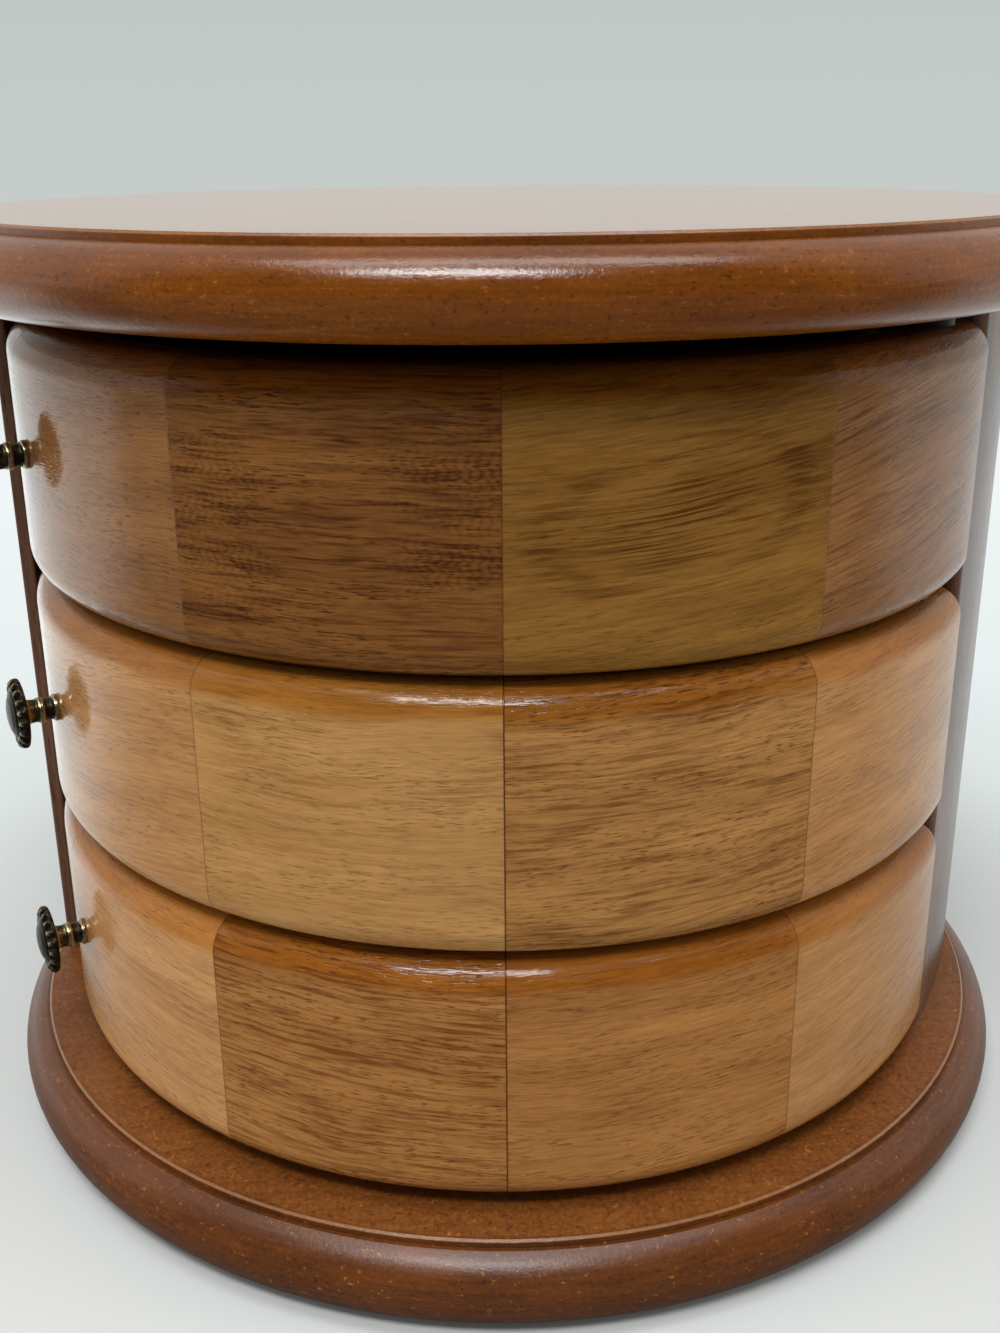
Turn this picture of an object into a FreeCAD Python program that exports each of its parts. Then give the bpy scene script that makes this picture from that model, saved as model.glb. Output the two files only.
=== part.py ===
"""Round wooden jewellery box with three curved drawers that swing out on one upright rod.

Frame: millimetres, +Z up, origin at the middle of the footprint on the table. The fronts look
along -Y and the drawers are hung at the +X side. Directions round the box are given as azimuths:
0 looks at the viewer along -Y, and positive azimuths turn towards +X.
"""
import FreeCAD, Part
import Sketcher
import math
import os

SIZES = (
    ("drawer_radius", 100.0, "outer face of the curved fronts"),
    ("drawer_forward", 2.9, "centre of the fronts' arc, ahead of the boards' centre"),
    ("front_thick", 12.0, "thickness of a stave"),
    ("stave_angle", 32.0, "width of a stave"),
    ("right_end_angle", 64.0, "azimuth of the fronts' hinge end"),
    ("left_end_angle", 88.0, "azimuth of the fronts' free end, to the left"),
    ("drawer_height", 49.5, "height of a front"),
    ("drawer_gap", 1.0, "gap from one drawer to the next"),
    ("base_gap", 2.4, "gap under the lower drawer"),
    ("top_gap", 4.4, "gap over the upper drawer"),
    ("edge_round", 6.0, "round along the upper and lower edges of a front"),
    ("end_round", 2.5, "round down the two ends of a front"),
    ("inner_ease", 1.5, "chamfer along the inner upper edge of a front"),
    ("step_radius", 109.0, "edge of a board's flat face"),
    ("board_radius", 115.0, "widest point of a board's rounded rim"),
    ("step_depth", 1.6, "depth of the small step at the rim"),
    ("step_ledge", 0.8, "width of the small step's ledge"),
    ("rim_ease", 0.4, "chamfered corner of the step"),
    ("base_thick", 17.0, "base board"),
    ("top_thick", 15.0, "top board"),
    ("felt_thick", 1.0, "felt under the base"),
    ("felt_inset", 3.0, "felt edge, in from the base's flat underside"),
    ("shell_radius", 107.0, "outer face of the bent back"),
    ("shell_thick", 3.0, "bent back plywood"),
    ("shell_end_angle", 86.0, "azimuth of both front edges of the bent back"),
    ("shell_ease", 0.8, "eased front edge of the bent back"),
    ("shell_groove", 2.0, "depth of the grooves that hold the bent back"),
    ("groove_play", 0.1, "play of a glued piece in its groove"),
    ("post_gap", 1.3, "gap from the fronts' hinge ends to the post"),
    ("post_drop", 1.5, "post's outer corner, in from the fronts' face"),
    ("post_inset", 17.0, "inner face of the post, in from the side of the fronts' circle"),
    ("post_lap", 14.0, "length of the lap of the back on the post"),
    ("post_bow", 165.0, "radius of the post's outer face"),
    ("post_round", 2.5, "round of the post's outer front corner"),
    ("pivot_depth", 8.0, "rod's centre, in from the fronts' face"),
    ("pivot_setback", 12.0, "rod's centre, back from the fronts' hinge end"),
    ("rod_radius", 2.0, "upright rod"),
    ("rod_seat", 8.0, "depth of the rod in each board"),
    ("pivot_play", 0.05, "running clearance of the rod in a bush"),
    ("bush_radius", 3.0, "outside of a bush"),
    ("swing_play", 0.4, "hollow of the post round the swinging corners"),
    ("washer_radius", 3.8, "spacing washers on the rod"),
    ("washer_play", 0.1, "washer's bore, over the rod"),
    ("floor_lift", 3.0, "underside of a tray floor, over the front's lower edge"),
    ("floor_thick", 3.0, "tray floor plywood"),
    ("floor_tongue", 3.0, "edge of the floor that goes into the staves"),
    ("wall_thick", 3.0, "bent wall and side wall of a tray"),
    ("wall_drop", 6.0, "tray wall's upper edge, under the front's"),
    ("tray_gap", 3.0, "side wall of a tray to the post"),
    ("block_width", 13.0, "glue block along X"),
    ("block_back", 9.0, "glue block's back face, behind the rod's centre"),
    ("lining_thick", 1.2, "velvet on card"),
    ("lining_play", 0.3, "play round the lining"),
    ("lining_drop", 2.0, "lining's upper edge, under the tray wall's"),
    ("divider_thick", 3.0, "tray divider"),
    ("divider_height", 26.0, "tray divider"),
    ("divider_y", 14.0, "middle of the divider"),
    ("roll_radius", 8.0, "ring cushion roll"),
    ("roll_pitch", 17.0, "ring cushion rolls, centre to centre"),
    ("roll_length", 96.0, "ring cushion roll"),
    ("roll_count", 4, "ring cushion rolls"),
    ("roll_taper", 3.0, "tapered ends of a roll"),
    ("roll_middle", 16.0, "middle of the set of rolls along Y"),
    ("knob_angle", 62.0, "azimuth of the knobs, to the left"),
    ("knob_raise", 2.0, "knobs, over the middle of a front"),
    ("knob_seat_radius", 2.7, "collar where the knob meets the wood"),
    ("knob_seat_high", 0.9, "collar where the knob meets the wood"),
    ("knob_ring_radius", 2.6, "ring at the middle of the stem"),
    ("knob_ring_start", 2.9, "ring, from the wood"),
    ("knob_ring_high", 0.8, "ring at the middle of the stem"),
    ("knob_cove", 0.5, "slopes from the rings down to the stem"),
    ("knob_stem_radius", 2.1, "stem"),
    ("knob_flare", 0.3, "stem's spread towards the head"),
    ("knob_head_radius", 7.1, "head, over its lobes"),
    ("knob_head_start", 6.3, "back of the head, from the wood"),
    ("knob_rim_thick", 2.0, "rim of the head"),
    ("knob_dome_rise", 1.3, "dome on the head, over the rim"),
    ("knob_dome_radius", 4.9, "edge of the dome"),
    ("knob_lobes", 18, "lobes round the head's rim"),
    ("knob_lobe_depth", 0.75, "notches between the lobes, in from the head's edge"),
    ("screw_radius", 1.25, "screw of a knob"),
    ("screw_bite", 4.5, "screw's length in the knob"),
    ("screw_head_radius", 2.9, "screw head"),
    ("screw_head_high", 1.8, "screw head"),
    ("screw_hole_play", 0.25, "hole round the screw"),
    ("case_screw_radius", 2.0, "screws through the base into the post"),
    ("case_screw_length", 36.0, "screws through the base into the post"),
    ("case_screw_head", 4.0, "their countersunk heads"),
    ("rear_fixing_back", 9.0, "rear screw and dowel, ahead of the post's rear end"),
    ("front_fixing_back", 27.0, "front screw and dowel, ahead of the post's rear end"),
    ("dowel_radius", 3.0, "dowels between post and top board"),
    ("dowel_depth", 9.0, "dowel's length in each piece"),
    ("bumper_radius", 5.0, "felt bumpers"),
    ("bumper_play", 0.3, "bumper to the closed tray"),
    ("bumper_y", -20.0, "bumpers on the post"),
)
PAST = 1.0  # length by which a cutting shape runs past the piece that it cuts
LOBE_BOW = 1.04  # radius of a lobe, as a multiple of half the distance between two notches
NOTHING = 1e-9

doc = FreeCAD.newDocument("swing_drawer_box")
sheet = doc.addObject("Spreadsheet::Sheet", "Sizes")
for row, (alias, number, meaning) in enumerate(SIZES, start=1):
    sheet.set("A%d" % row, meaning)
    sheet.set("B%d" % row, str(number))
    sheet.setAlias("B%d" % row, alias)
doc.recompute()


class Size:
    """A number with the spreadsheet formula that it comes from."""

    def __init__(self, number, formula):
        self.number = float(number)
        self.formula = formula

    def __add__(self, other):
        other = sized(other)
        return Size(self.number + other.number, "(%s + %s)" % (self.formula, other.formula))

    def __sub__(self, other):
        other = sized(other)
        return Size(self.number - other.number, "(%s - %s)" % (self.formula, other.formula))

    def __mul__(self, other):
        other = sized(other)
        return Size(self.number * other.number, "(%s * %s)" % (self.formula, other.formula))

    def __truediv__(self, other):
        other = sized(other)
        return Size(self.number / other.number, "(%s / %s)" % (self.formula, other.formula))

    def __neg__(self):
        return Size(-self.number, "(0 - %s)" % self.formula)

    def __radd__(self, other):
        return sized(other) + self

    def __rsub__(self, other):
        return sized(other) - self

    def __rmul__(self, other):
        return sized(other) * self


def sized(value):
    """A plain number as a Size."""
    return value if isinstance(value, Size) else Size(value, "%.9g" % value)


def cell(alias):
    """A size of the spreadsheet."""
    return Size(float(sheet.get(alias)), "Sizes." + alias)


def sine(angle):
    angle = sized(angle)
    return Size(math.sin(math.radians(angle.number)), "sin(%s)" % angle.formula)


def cosine(angle):
    angle = sized(angle)
    return Size(math.cos(math.radians(angle.number)), "cos(%s)" % angle.formula)


def root(value):
    return Size(math.sqrt(value.number), "sqrt(%s)" % value.formula)


def arcsine(value):
    return Size(math.degrees(math.asin(value.number)), "asin(%s) / 1deg" % value.formula)


def bind(item, **values):
    """Tie properties of an object to their formulas."""
    for name, value in values.items():
        item.setExpression(name, sized(value).formula)


def place(item, x=0, y=0, z=0, axis=(0, 0, 1), angle=0):
    """Tie an object's placement to its formulas; the angle turns it about the axis."""
    base = "vector(%s; %s; %s)" % tuple(sized(v).formula for v in (x, y, z))
    turn = "rotation(vector(%g; %g; %g); %s)" % (tuple(axis) + (sized(angle).formula,))
    item.setExpression("Placement", "placement(%s; %s)" % (base, turn))


def settle(item, label):
    """Work an object out and give it the name of its piece."""
    item.Label = label
    doc.recompute()
    return item


def cylinder(name, radius, height, x=0, y=0, z=0, sector=360, axis=(0, 0, 1), turn=0):
    """Cylinder or sector of one, with its foot at x, y, z and turned about the axis."""
    item = doc.addObject("Part::Cylinder", name)
    bind(item, Radius=radius, Height=height, Angle=sector)
    place(item, x, y, z, axis, turn)
    return item


def block(name, low, high):
    """Box between two corners."""
    item = doc.addObject("Part::Box", name)
    sizes = [b - a for a, b in zip(map(sized, low), map(sized, high))]
    bind(item, Length=sizes[0], Width=sizes[1], Height=sizes[2])
    place(item, *low)
    return item


def cut(name, base, tool):
    item = doc.addObject("Part::Cut", name)
    item.Base = base
    item.Tool = tool
    return item


def common(name, base, tool):
    item = doc.addObject("Part::Common", name)
    item.Base = base
    item.Tool = tool
    return item


def group(label, solids):
    """Like pieces that share one node, as separate solids."""
    item = doc.addObject("Part::Compound", label)
    item.Links = solids
    return settle(item, label)


def plane_of(body, role):
    """One of a body's own origin planes."""
    return next(f for f in body.Origin.OriginFeatures if f.Role == role)


def fix_corner(sketch, side, end, corner):
    """Hold one end of a side at its two distances from the sketch's origin."""
    for kind, value, on_axis in (("DistanceX", corner[0], -2), ("DistanceY", corner[1], -1)):
        value = sized(value)
        if abs(value.number) < NOTHING:
            sketch.addConstraint(Sketcher.Constraint("PointOnObject", side, end, on_axis))
            continue
        index = sketch.addConstraint(Sketcher.Constraint(kind, -1, 1, side, end, value.number))
        sketch.setExpression("Constraints[%d]" % index, value.formula)


def outline(body, name, role, corners, bows=None):
    """Closed sketch through the corners, taken anticlockwise.

    Side i runs from corner i to the next. bows gives the radius of each side that is an arc:
    positive bulges out of the outline, negative into it.
    """
    bows = bows or {}
    sketch = body.newObject("Sketcher::SketchObject", name)
    sketch.AttachmentSupport = (plane_of(body, role), [""])
    sketch.MapMode = "FlatFace"
    points = [FreeCAD.Vector(sized(x).number, sized(y).number, 0) for x, y in corners]
    ends = []
    for i, start in enumerate(points):
        finish = points[(i + 1) % len(points)]
        if i not in bows:
            sketch.addGeometry(Part.LineSegment(start, finish))
            ends.append((1, 2))
            continue
        radius = abs(sized(bows[i]).number)
        outward = sized(bows[i]).number > 0
        chord = finish - start
        half = chord.Length / 2
        left = FreeCAD.Vector(-chord.y, chord.x, 0).normalize()
        back = math.sqrt(max(radius * radius - half * half, 0))
        centre = (start + finish) * 0.5 + left * (back if outward else -back)
        first, last = (start, finish) if outward else (finish, start)
        angles = [math.atan2(p.y - centre.y, p.x - centre.x) for p in (first, last)]
        circle = Part.Circle(centre, FreeCAD.Vector(0, 0, 1), radius)
        sketch.addGeometry(Part.ArcOfCircle(circle, angles[0], angles[1]))
        ends.append((1, 2) if outward else (2, 1))
    for i in range(len(points)):
        following = (i + 1) % len(points)
        sketch.addConstraint(Sketcher.Constraint("Coincident", i, ends[i][1], following, ends[following][0]))
        fix_corner(sketch, i, ends[i][0], corners[i])
    for i, bow in bows.items():
        bow = sized(bow)
        length = bow if bow.number > 0 else -bow
        index = sketch.addConstraint(Sketcher.Constraint("Radius", i, length.number))
        sketch.setExpression("Constraints[%d]" % index, length.formula)
    return sketch


def new_body(name):
    return doc.addObject("PartDesign::Body", name)


def turned(body, sketch, angle=360):
    """Revolve a sketch of the XZ plane about the upright axis, anticlockwise seen from above."""
    feature = body.newObject("PartDesign::Revolution", body.Name + "_turn")
    feature.Profile = sketch
    feature.ReferenceAxis = (sketch, ["V_Axis"])
    feature.Reversed = False
    bind(feature, Angle=angle)
    doc.recompute()
    if sized(angle).number < 180 and feature.Shape.CenterOfMass.y < 0:
        feature.Reversed = True
        doc.recompute()
    return feature


def padded(body, sketch, length):
    feature = body.newObject("PartDesign::Pad", body.Name + "_pad")
    feature.Profile = sketch
    bind(feature, Length=length)
    doc.recompute()
    return feature


def eased(body, feature, radius, wanted):
    """Round the edges of a feature that the test picks by their ends and middle."""
    names = []
    for number, edge in enumerate(feature.Shape.Edges, start=1):
        points = [edge.valueAt(edge.FirstParameter + k * (edge.LastParameter - edge.FirstParameter) / 2)
                  for k in (0, 1, 2)]
        if wanted(points):
            names.append("Edge%d" % number)
    fillet = body.newObject("PartDesign::Fillet", body.Name + "_ease")
    fillet.Base = (feature, names)
    bind(fillet, Radius=radius)
    doc.recompute()
    return fillet


def near(a, b, reach=0.01):
    return abs(a - b) < reach


# Levels and centres that several pieces share.
fronts_y = -cell("drawer_forward")
board_z = cell("felt_thick")
case_floor = board_z + cell("base_thick")
first_drawer = case_floor + cell("base_gap")
drawer_pitch = cell("drawer_height") + cell("drawer_gap")
case_roof = first_drawer + 2 * drawer_pitch + cell("drawer_height") + cell("top_gap")
inner_radius = cell("drawer_radius") - cell("front_thick")
pivot_radius = cell("drawer_radius") - cell("pivot_depth")
pivot_azimuth = cell("right_end_angle") - arcsine(cell("pivot_setback") / pivot_radius)
pivot_x = pivot_radius * sine(pivot_azimuth)
pivot_y = fronts_y - pivot_radius * cosine(pivot_azimuth)
round_back = cell("drawer_radius") - cell("end_round")
corner_back = cell("pivot_setback") - cell("end_round")
corner_out = (root(round_back * round_back - cell("end_round") * cell("end_round"))
              - root(pivot_radius * pivot_radius - cell("pivot_setback") * cell("pivot_setback")))
corner_reach = root(corner_back * corner_back + corner_out * corner_out) + cell("end_round")
shell_inner = cell("shell_radius") - cell("shell_thick")
post_plane = cell("drawer_radius") - cell("post_inset")
side_plane = post_plane - cell("tray_gap")
floor_top = cell("floor_lift") + cell("floor_thick")
wall_top = cell("drawer_height") - cell("wall_drop")
DRAWERS = ("lower", "middle", "upper")


def drawer_level(number):
    return first_drawer + number * drawer_pitch


def board(name, level, thick):
    """Round board: flat face, small step, then a full rounded rim down to the flat underside."""
    body = new_body(name + "_body")
    shoulder = thick - cell("step_depth")
    edge = cell("step_radius") + cell("step_ledge")
    reach = cell("board_radius") - edge
    half = shoulder / 2
    corners = [(0, 0), (edge, 0), (edge, shoulder), (cell("step_radius"), shoulder),
               (cell("step_radius"), thick - cell("rim_ease")),
               (cell("step_radius") - cell("rim_ease"), thick), (0, thick)]
    rim = (half * half + reach * reach) / (2 * reach)
    sketch = outline(body, name + "_profile", "XZ_Plane", corners, {1: rim})
    turned(body, sketch)
    place(body, z=level)
    return body


def shell_space(name, level, height, play):
    """Ring sector that the bent back fills."""
    low_angle = cell("shell_end_angle") - 90
    sweep = 360 - 2 * cell("shell_end_angle")
    outer = cylinder(name + "_outer", cell("shell_radius") + play, height, z=level, sector=sweep,
                     turn=low_angle)
    inner = cylinder(name + "_inner", shell_inner - play, height + 2 * PAST, z=level - PAST)
    return cut(name, outer, inner)


def make_boards():
    bottom = board("base_disc", board_z, cell("base_thick"))
    groove = shell_space("base_groove", case_floor - cell("shell_groove"), cell("shell_groove") + PAST,
                         cell("groove_play"))
    seat = cylinder("base_rod_seat", cell("rod_radius"), cell("rod_seat") + PAST, pivot_x, pivot_y,
                    case_floor - cell("rod_seat"))
    holes = [groove, seat] + screw_solids("base_screw_hole")
    for number, tool in enumerate(holes):
        bottom = cut("base_cut_%d" % number, bottom, tool)
    settle(bottom, "base_disc")

    top = board("top_disc", case_roof, cell("top_thick"))
    groove = shell_space("top_groove", case_roof - PAST, cell("shell_groove") + PAST,
                         cell("groove_play"))
    seat = cylinder("top_rod_seat", cell("rod_radius"), cell("rod_seat") + PAST, pivot_x, pivot_y,
                    case_roof - PAST)
    holes = [groove, seat] + dowel_solids("top_dowel_hole")
    for number, tool in enumerate(holes):
        top = cut("top_cut_%d" % number, top, tool)
    settle(top, "top_disc")

    felt = cylinder("base_felt", cell("step_radius") + cell("step_ledge") - cell("felt_inset"),
                    cell("felt_thick"))
    settle(felt, "base_felt")
    return [bottom, top, felt]


def make_shell():
    """Bent plywood back, let into both boards, with its two upright edges eased."""
    body = new_body("back_shell_body")
    height = case_roof - case_floor + 2 * cell("shell_groove")
    corners = [(shell_inner, 0), (cell("shell_radius"), 0), (cell("shell_radius"), height),
               (shell_inner, height)]
    sketch = outline(body, "back_shell_profile", "XZ_Plane", corners)
    feature = turned(body, sketch, 360 - 2 * cell("shell_end_angle"))
    sweep = 360 - 2 * cell("shell_end_angle").number
    far = FreeCAD.Vector(math.cos(math.radians(sweep)), math.sin(math.radians(sweep)), 0)
    if feature.Shape.distToShape(Part.Vertex(far * shell_inner.number))[0] > 0.01:
        feature.Reversed = True
        doc.recompute()

    def free_edge(points):
        upright = near(points[0].x, points[2].x) and near(points[0].y, points[2].y)
        flat = FreeCAD.Vector(points[1].x, points[1].y, 0)
        return upright and (flat - far * flat.Length).Length < 0.01

    eased(body, feature, cell("shell_ease"), free_edge)
    place(body, z=case_floor - cell("shell_groove"), angle=cell("shell_end_angle") - 90)
    return settle(body, "back_shell")


def post_points():
    """Plan of the hinge post, anticlockwise from its inner front corner."""
    out_x, out_y = sine(cell("right_end_angle")), -cosine(cell("right_end_angle"))
    along_x, along_y = cosine(cell("right_end_angle")), sine(cell("right_end_angle"))
    gap = cell("post_gap")
    depth = (post_plane - along_x * gap) / out_x
    face = cell("drawer_radius") - cell("post_drop")
    lap_angle = cell("shell_end_angle") + cell("post_lap") / shell_inner * (180 / math.pi)
    lap_x = shell_inner * sine(lap_angle)
    lap_y = -(shell_inner * cosine(lap_angle))
    end_x, end_y = sine(cell("shell_end_angle")), -cosine(cell("shell_end_angle"))
    return [
        (post_plane, fronts_y + out_y * depth + along_y * gap),
        (out_x * face + along_x * gap, fronts_y + out_y * face + along_y * gap),
        (cell("shell_radius") * end_x, cell("shell_radius") * end_y),
        (shell_inner * end_x, shell_inner * end_y),
        (lap_x, lap_y),
        (post_plane, lap_y),
    ]


def make_post():
    """Solid post beside the fronts' hinge ends, rabbeted for the bent back.

    Its face is hollowed a little round the rod, for the corners of the fronts that swing past it.
    """
    body = new_body("hinge_post_body")
    corners = post_points()
    sketch = outline(body, "hinge_post_plan", "XY_Plane", corners,
                     {1: cell("post_bow"), 3: shell_inner})
    feature = padded(body, sketch, case_roof - case_floor)
    corner = [sized(v).number for v in corners[1]]

    def front_corner(points):
        return all(near(p.x, corner[0]) and near(p.y, corner[1]) for p in points)

    eased(body, feature, cell("post_round"), front_corner)
    place(body, z=case_floor)
    hollow = cylinder("post_hollow", corner_reach + cell("swing_play"), case_roof - case_floor + 2 * PAST,
                      pivot_x, pivot_y, case_floor - PAST)
    post = cut("post_cove", body, hollow)
    for number, tool in enumerate(screw_solids("post_screw_hole") + dowel_solids("post_dowel_hole")):
        post = cut("post_cut_%d" % number, post, tool)
    return settle(post, "hinge_post")


def post_middles():
    """Where screws and dowels stand in the post: halfway from its inner face to the bent back's circle."""
    rear_end = post_points()[5][1]
    middles = []
    for back in (cell("rear_fixing_back"), cell("front_fixing_back")):
        y = rear_end - back
        middles.append(((post_plane + root(shell_inner * shell_inner - y * y)) / 2, y))
    return middles


def screw_solids(name):
    """Countersunk screws that come up through the base into the post."""
    solids = []
    for number, (x, y) in enumerate(post_middles()):
        shank = cylinder("%s_shank_%d" % (name, number), cell("case_screw_radius"),
                         cell("case_screw_length"), x, y, board_z)
        head = doc.addObject("Part::Cone", "%s_head_%d" % (name, number))
        bind(head, Radius1=cell("case_screw_head"), Radius2=cell("case_screw_radius"),
             Height=cell("case_screw_head") - cell("case_screw_radius"))
        place(head, x, y, board_z)
        whole = doc.addObject("Part::Fuse", "%s_%d" % (name, number))
        whole.Base = shank
        whole.Tool = head
        solids.append(whole)
    return solids


def dowel_solids(name):
    """Dowels that stand half in the post and half in the top board."""
    return [cylinder("%s_%d" % (name, number), cell("dowel_radius"), 2 * cell("dowel_depth"), x, y,
                     case_roof - cell("dowel_depth"))
            for number, (x, y) in enumerate(post_middles())]


def make_pivot():
    """Rod through all three drawers, with the washers that carry and space them."""
    rod = cylinder("pivot_rod", cell("rod_radius"), case_roof - case_floor + 2 * cell("rod_seat"),
                   pivot_x, pivot_y, case_floor - cell("rod_seat"))
    settle(rod, "pivot_rod")
    gaps = [(case_floor, cell("base_gap"))]
    for number in (1, 2):
        gaps.append((drawer_level(number) - cell("drawer_gap"), cell("drawer_gap")))
    gaps.append((case_roof - cell("top_gap"), cell("top_gap")))
    washers = []
    for number, (level, thick) in enumerate(gaps):
        ring = cylinder("washer_disc_%d" % number, cell("washer_radius"), thick, pivot_x, pivot_y, level)
        bore = cylinder("washer_bore_%d" % number, cell("rod_radius") + cell("washer_play"),
                        thick + 2 * PAST, pivot_x, pivot_y, level - PAST)
        washers.append(cut("washer_%d" % number, ring, bore))
    return [rod, group("pivot_washers", washers)]


def make_bumpers():
    """Felt bumpers on the post that the closed trays rest against."""
    reach = cell("tray_gap") - cell("bumper_play")
    solids = []
    for number in range(len(DRAWERS)):
        level = drawer_level(number) + (floor_top + wall_top) / 2
        solids.append(cylinder("bumper_%d" % number, cell("bumper_radius"), reach,
                               post_plane - reach, cell("bumper_y"), level,
                               axis=(0, 1, 0), turn=90))
    return group("stop_bumpers", solids)


def stave_profile(body, name):
    """Section of a front: round upper and lower edges, and the groove for the tray floor."""
    height = cell("drawer_height")
    outer = cell("drawer_radius")
    edge = cell("edge_round")
    small = cell("inner_ease")
    groove = inner_radius + cell("floor_tongue") + cell("groove_play")
    corners = [(inner_radius, 0), (outer - edge, 0), (outer, edge), (outer, height - edge),
               (outer - edge, height), (inner_radius + small, height),
               (inner_radius, height - small),
               (inner_radius, floor_top + cell("groove_play")), (groove, floor_top + cell("groove_play")),
               (groove, cell("floor_lift")), (inner_radius, cell("floor_lift"))]
    return outline(body, name + "_section", "XZ_Plane", corners, {1: edge, 3: edge})


def make_staves(drawer, number):
    """The front of one drawer: five staves glued edge to edge, numbered from the left."""
    right = cell("right_end_angle")
    joints = [-cell("left_end_angle")] + [right - k * cell("stave_angle") for k in (4, 3, 2, 1)] + [right]
    level = drawer_level(number)
    staves = []
    for place_number, (start, finish) in enumerate(zip(joints, joints[1:]), start=1):
        name = "%s_stave_%d" % (drawer, place_number)
        body = new_body(name + "_body")
        sweep = finish - start
        feature = turned(body, stave_profile(body, name), sweep)
        ends = {1: 0.0, len(joints) - 1: sweep.number}
        if place_number in ends:
            angle = math.radians(ends[place_number])
            out = FreeCAD.Vector(math.cos(angle), math.sin(angle), 0)
            limit = cell("drawer_radius").number - cell("edge_round").number

            def outer_end(points, out=out, limit=limit):
                flats = [FreeCAD.Vector(p.x, p.y, 0) for p in points]
                on_end = all((f - out * f.Length).Length < 0.01 for f in flats)
                return on_end and min(f.Length for f in flats) > limit - 0.01

            eased(body, feature, cell("end_round"), outer_end)
        place(body, 0, fronts_y, level, angle=start - 90)
        stave = body
        if place_number == 2:
            stave = drill_for_knob(stave, drawer, level)
        if place_number == len(joints) - 1:
            stave = cut(name + "_cut", stave, bush_room(name + "_bore", level, 0))
        staves.append(settle(stave, name))
    return staves


def knob_spot(level, radius):
    """Place at this radius on the knob's own line, which points outwards."""
    angle = cell("knob_angle")
    middle = level + cell("drawer_height") / 2 + cell("knob_raise")
    return (-(radius * sine(angle)), fronts_y - radius * cosine(angle), middle)


def along_knob(item, level, radius):
    """Lay an upright piece along the knob's line, with its foot at this radius."""
    x, y, z = knob_spot(level, radius)
    base = "vector(%s; %s; %s)" % tuple(sized(v).formula for v in (x, y, z))
    heading = "rotation(vector(0; 0; 1); %s)" % (-90 - cell("knob_angle")).formula
    tip = "rotation(vector(0; 1; 0); 90)"
    item.setExpression("Placement", "placement(%s; %s * %s)" % (base, heading, tip))


def drill_for_knob(stave, drawer, level):
    """Screw hole through the stave, with a counterbore for the head."""
    shank = cylinder(drawer + "_knob_hole", cell("screw_radius") + cell("screw_hole_play"),
                     cell("front_thick") + 2 * PAST)
    along_knob(shank, level, inner_radius - PAST)
    head = cylinder(drawer + "_knob_sink", cell("screw_head_radius") + cell("screw_hole_play"),
                    cell("screw_head_high") + PAST)
    along_knob(head, level, inner_radius - PAST)
    stave = cut(drawer + "_knob_cut_1", stave, shank)
    return cut(drawer + "_knob_cut_2", stave, head)


def tray_room(name, radius, plane, height, level):
    """Round space about the fronts' centre, cut off flat at the hinge side."""
    round_room = cylinder(name + "_round", radius, height, 0, fronts_y, level)
    reach = cell("drawer_radius")
    beyond = block(name + "_beyond", (plane, -2 * reach, level - PAST),
                   (plane + reach, 2 * reach, level + height + PAST))
    return cut(name, round_room, beyond)


def bush_room(name, level, play):
    return cylinder(name, cell("bush_radius") + play, cell("drawer_height") + 2 * PAST,
                    pivot_x, pivot_y, level - PAST)


def make_tray(drawer, number):
    """Floor, bent wall, side wall, glue block, bush and lining of one drawer."""
    level = drawer_level(number)
    floor_level = level + cell("floor_lift")
    wall_level = level + floor_top
    wall_height = wall_top - floor_top

    panel = tray_room(drawer + "_panel", inner_radius + cell("floor_tongue"), side_plane,
                      cell("floor_thick"), floor_level)
    floor = cut(drawer + "_floor", panel, bush_room(drawer + "_floor_notch", level, cell("groove_play")))
    settle(floor, drawer + "_tray_floor")

    start = cell("left_end_angle")
    outer = cylinder(drawer + "_wall_outer", inner_radius + cell("wall_thick"), wall_height,
                     0, fronts_y, wall_level, sector=270 - start)
    inner = cylinder(drawer + "_wall_inner", inner_radius, wall_height + 2 * PAST,
                     0, fronts_y, wall_level - PAST)
    ring = cut(drawer + "_wall_ring", outer, inner)
    reach = cell("drawer_radius")
    trim = block(drawer + "_wall_trim", (side_plane, -2 * reach, wall_level - PAST),
                 (side_plane + reach, 2 * reach, wall_level + wall_height + PAST))
    wall = settle(cut(drawer + "_wall", ring, trim), drawer + "_back_wall")

    plank = block(drawer + "_side_plank",
                  (side_plane - cell("wall_thick"), -2 * reach, wall_level),
                  (side_plane, 2 * reach, wall_level + wall_height))
    room = cylinder(drawer + "_side_room", inner_radius, wall_height, 0, fronts_y, wall_level)
    side = settle(common(drawer + "_side", plank, room), drawer + "_side_wall")

    inside = side_plane - cell("wall_thick")
    cube = block(drawer + "_cube", (inside - cell("block_width"), -2 * reach, wall_level),
                 (inside, pivot_y + cell("block_back"), wall_level + wall_height))
    corner_room = cylinder(drawer + "_corner_room", inner_radius, wall_height, 0, fronts_y, wall_level)
    corner = settle(common(drawer + "_corner", cube, corner_room), drawer + "_corner_block")

    sleeve = cylinder(drawer + "_sleeve", cell("bush_radius"), cell("drawer_height"),
                      pivot_x, pivot_y, level)
    hollow = cylinder(drawer + "_sleeve_bore", cell("rod_radius") + cell("pivot_play"),
                      cell("drawer_height") + 2 * PAST, pivot_x, pivot_y, level - PAST)
    bush = settle(cut(drawer + "_bush", sleeve, hollow), drawer + "_pivot_bush")
    lining = make_lining(drawer, wall_level, wall_height, inside)
    return [floor, wall, side, corner, bush, lining]


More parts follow.
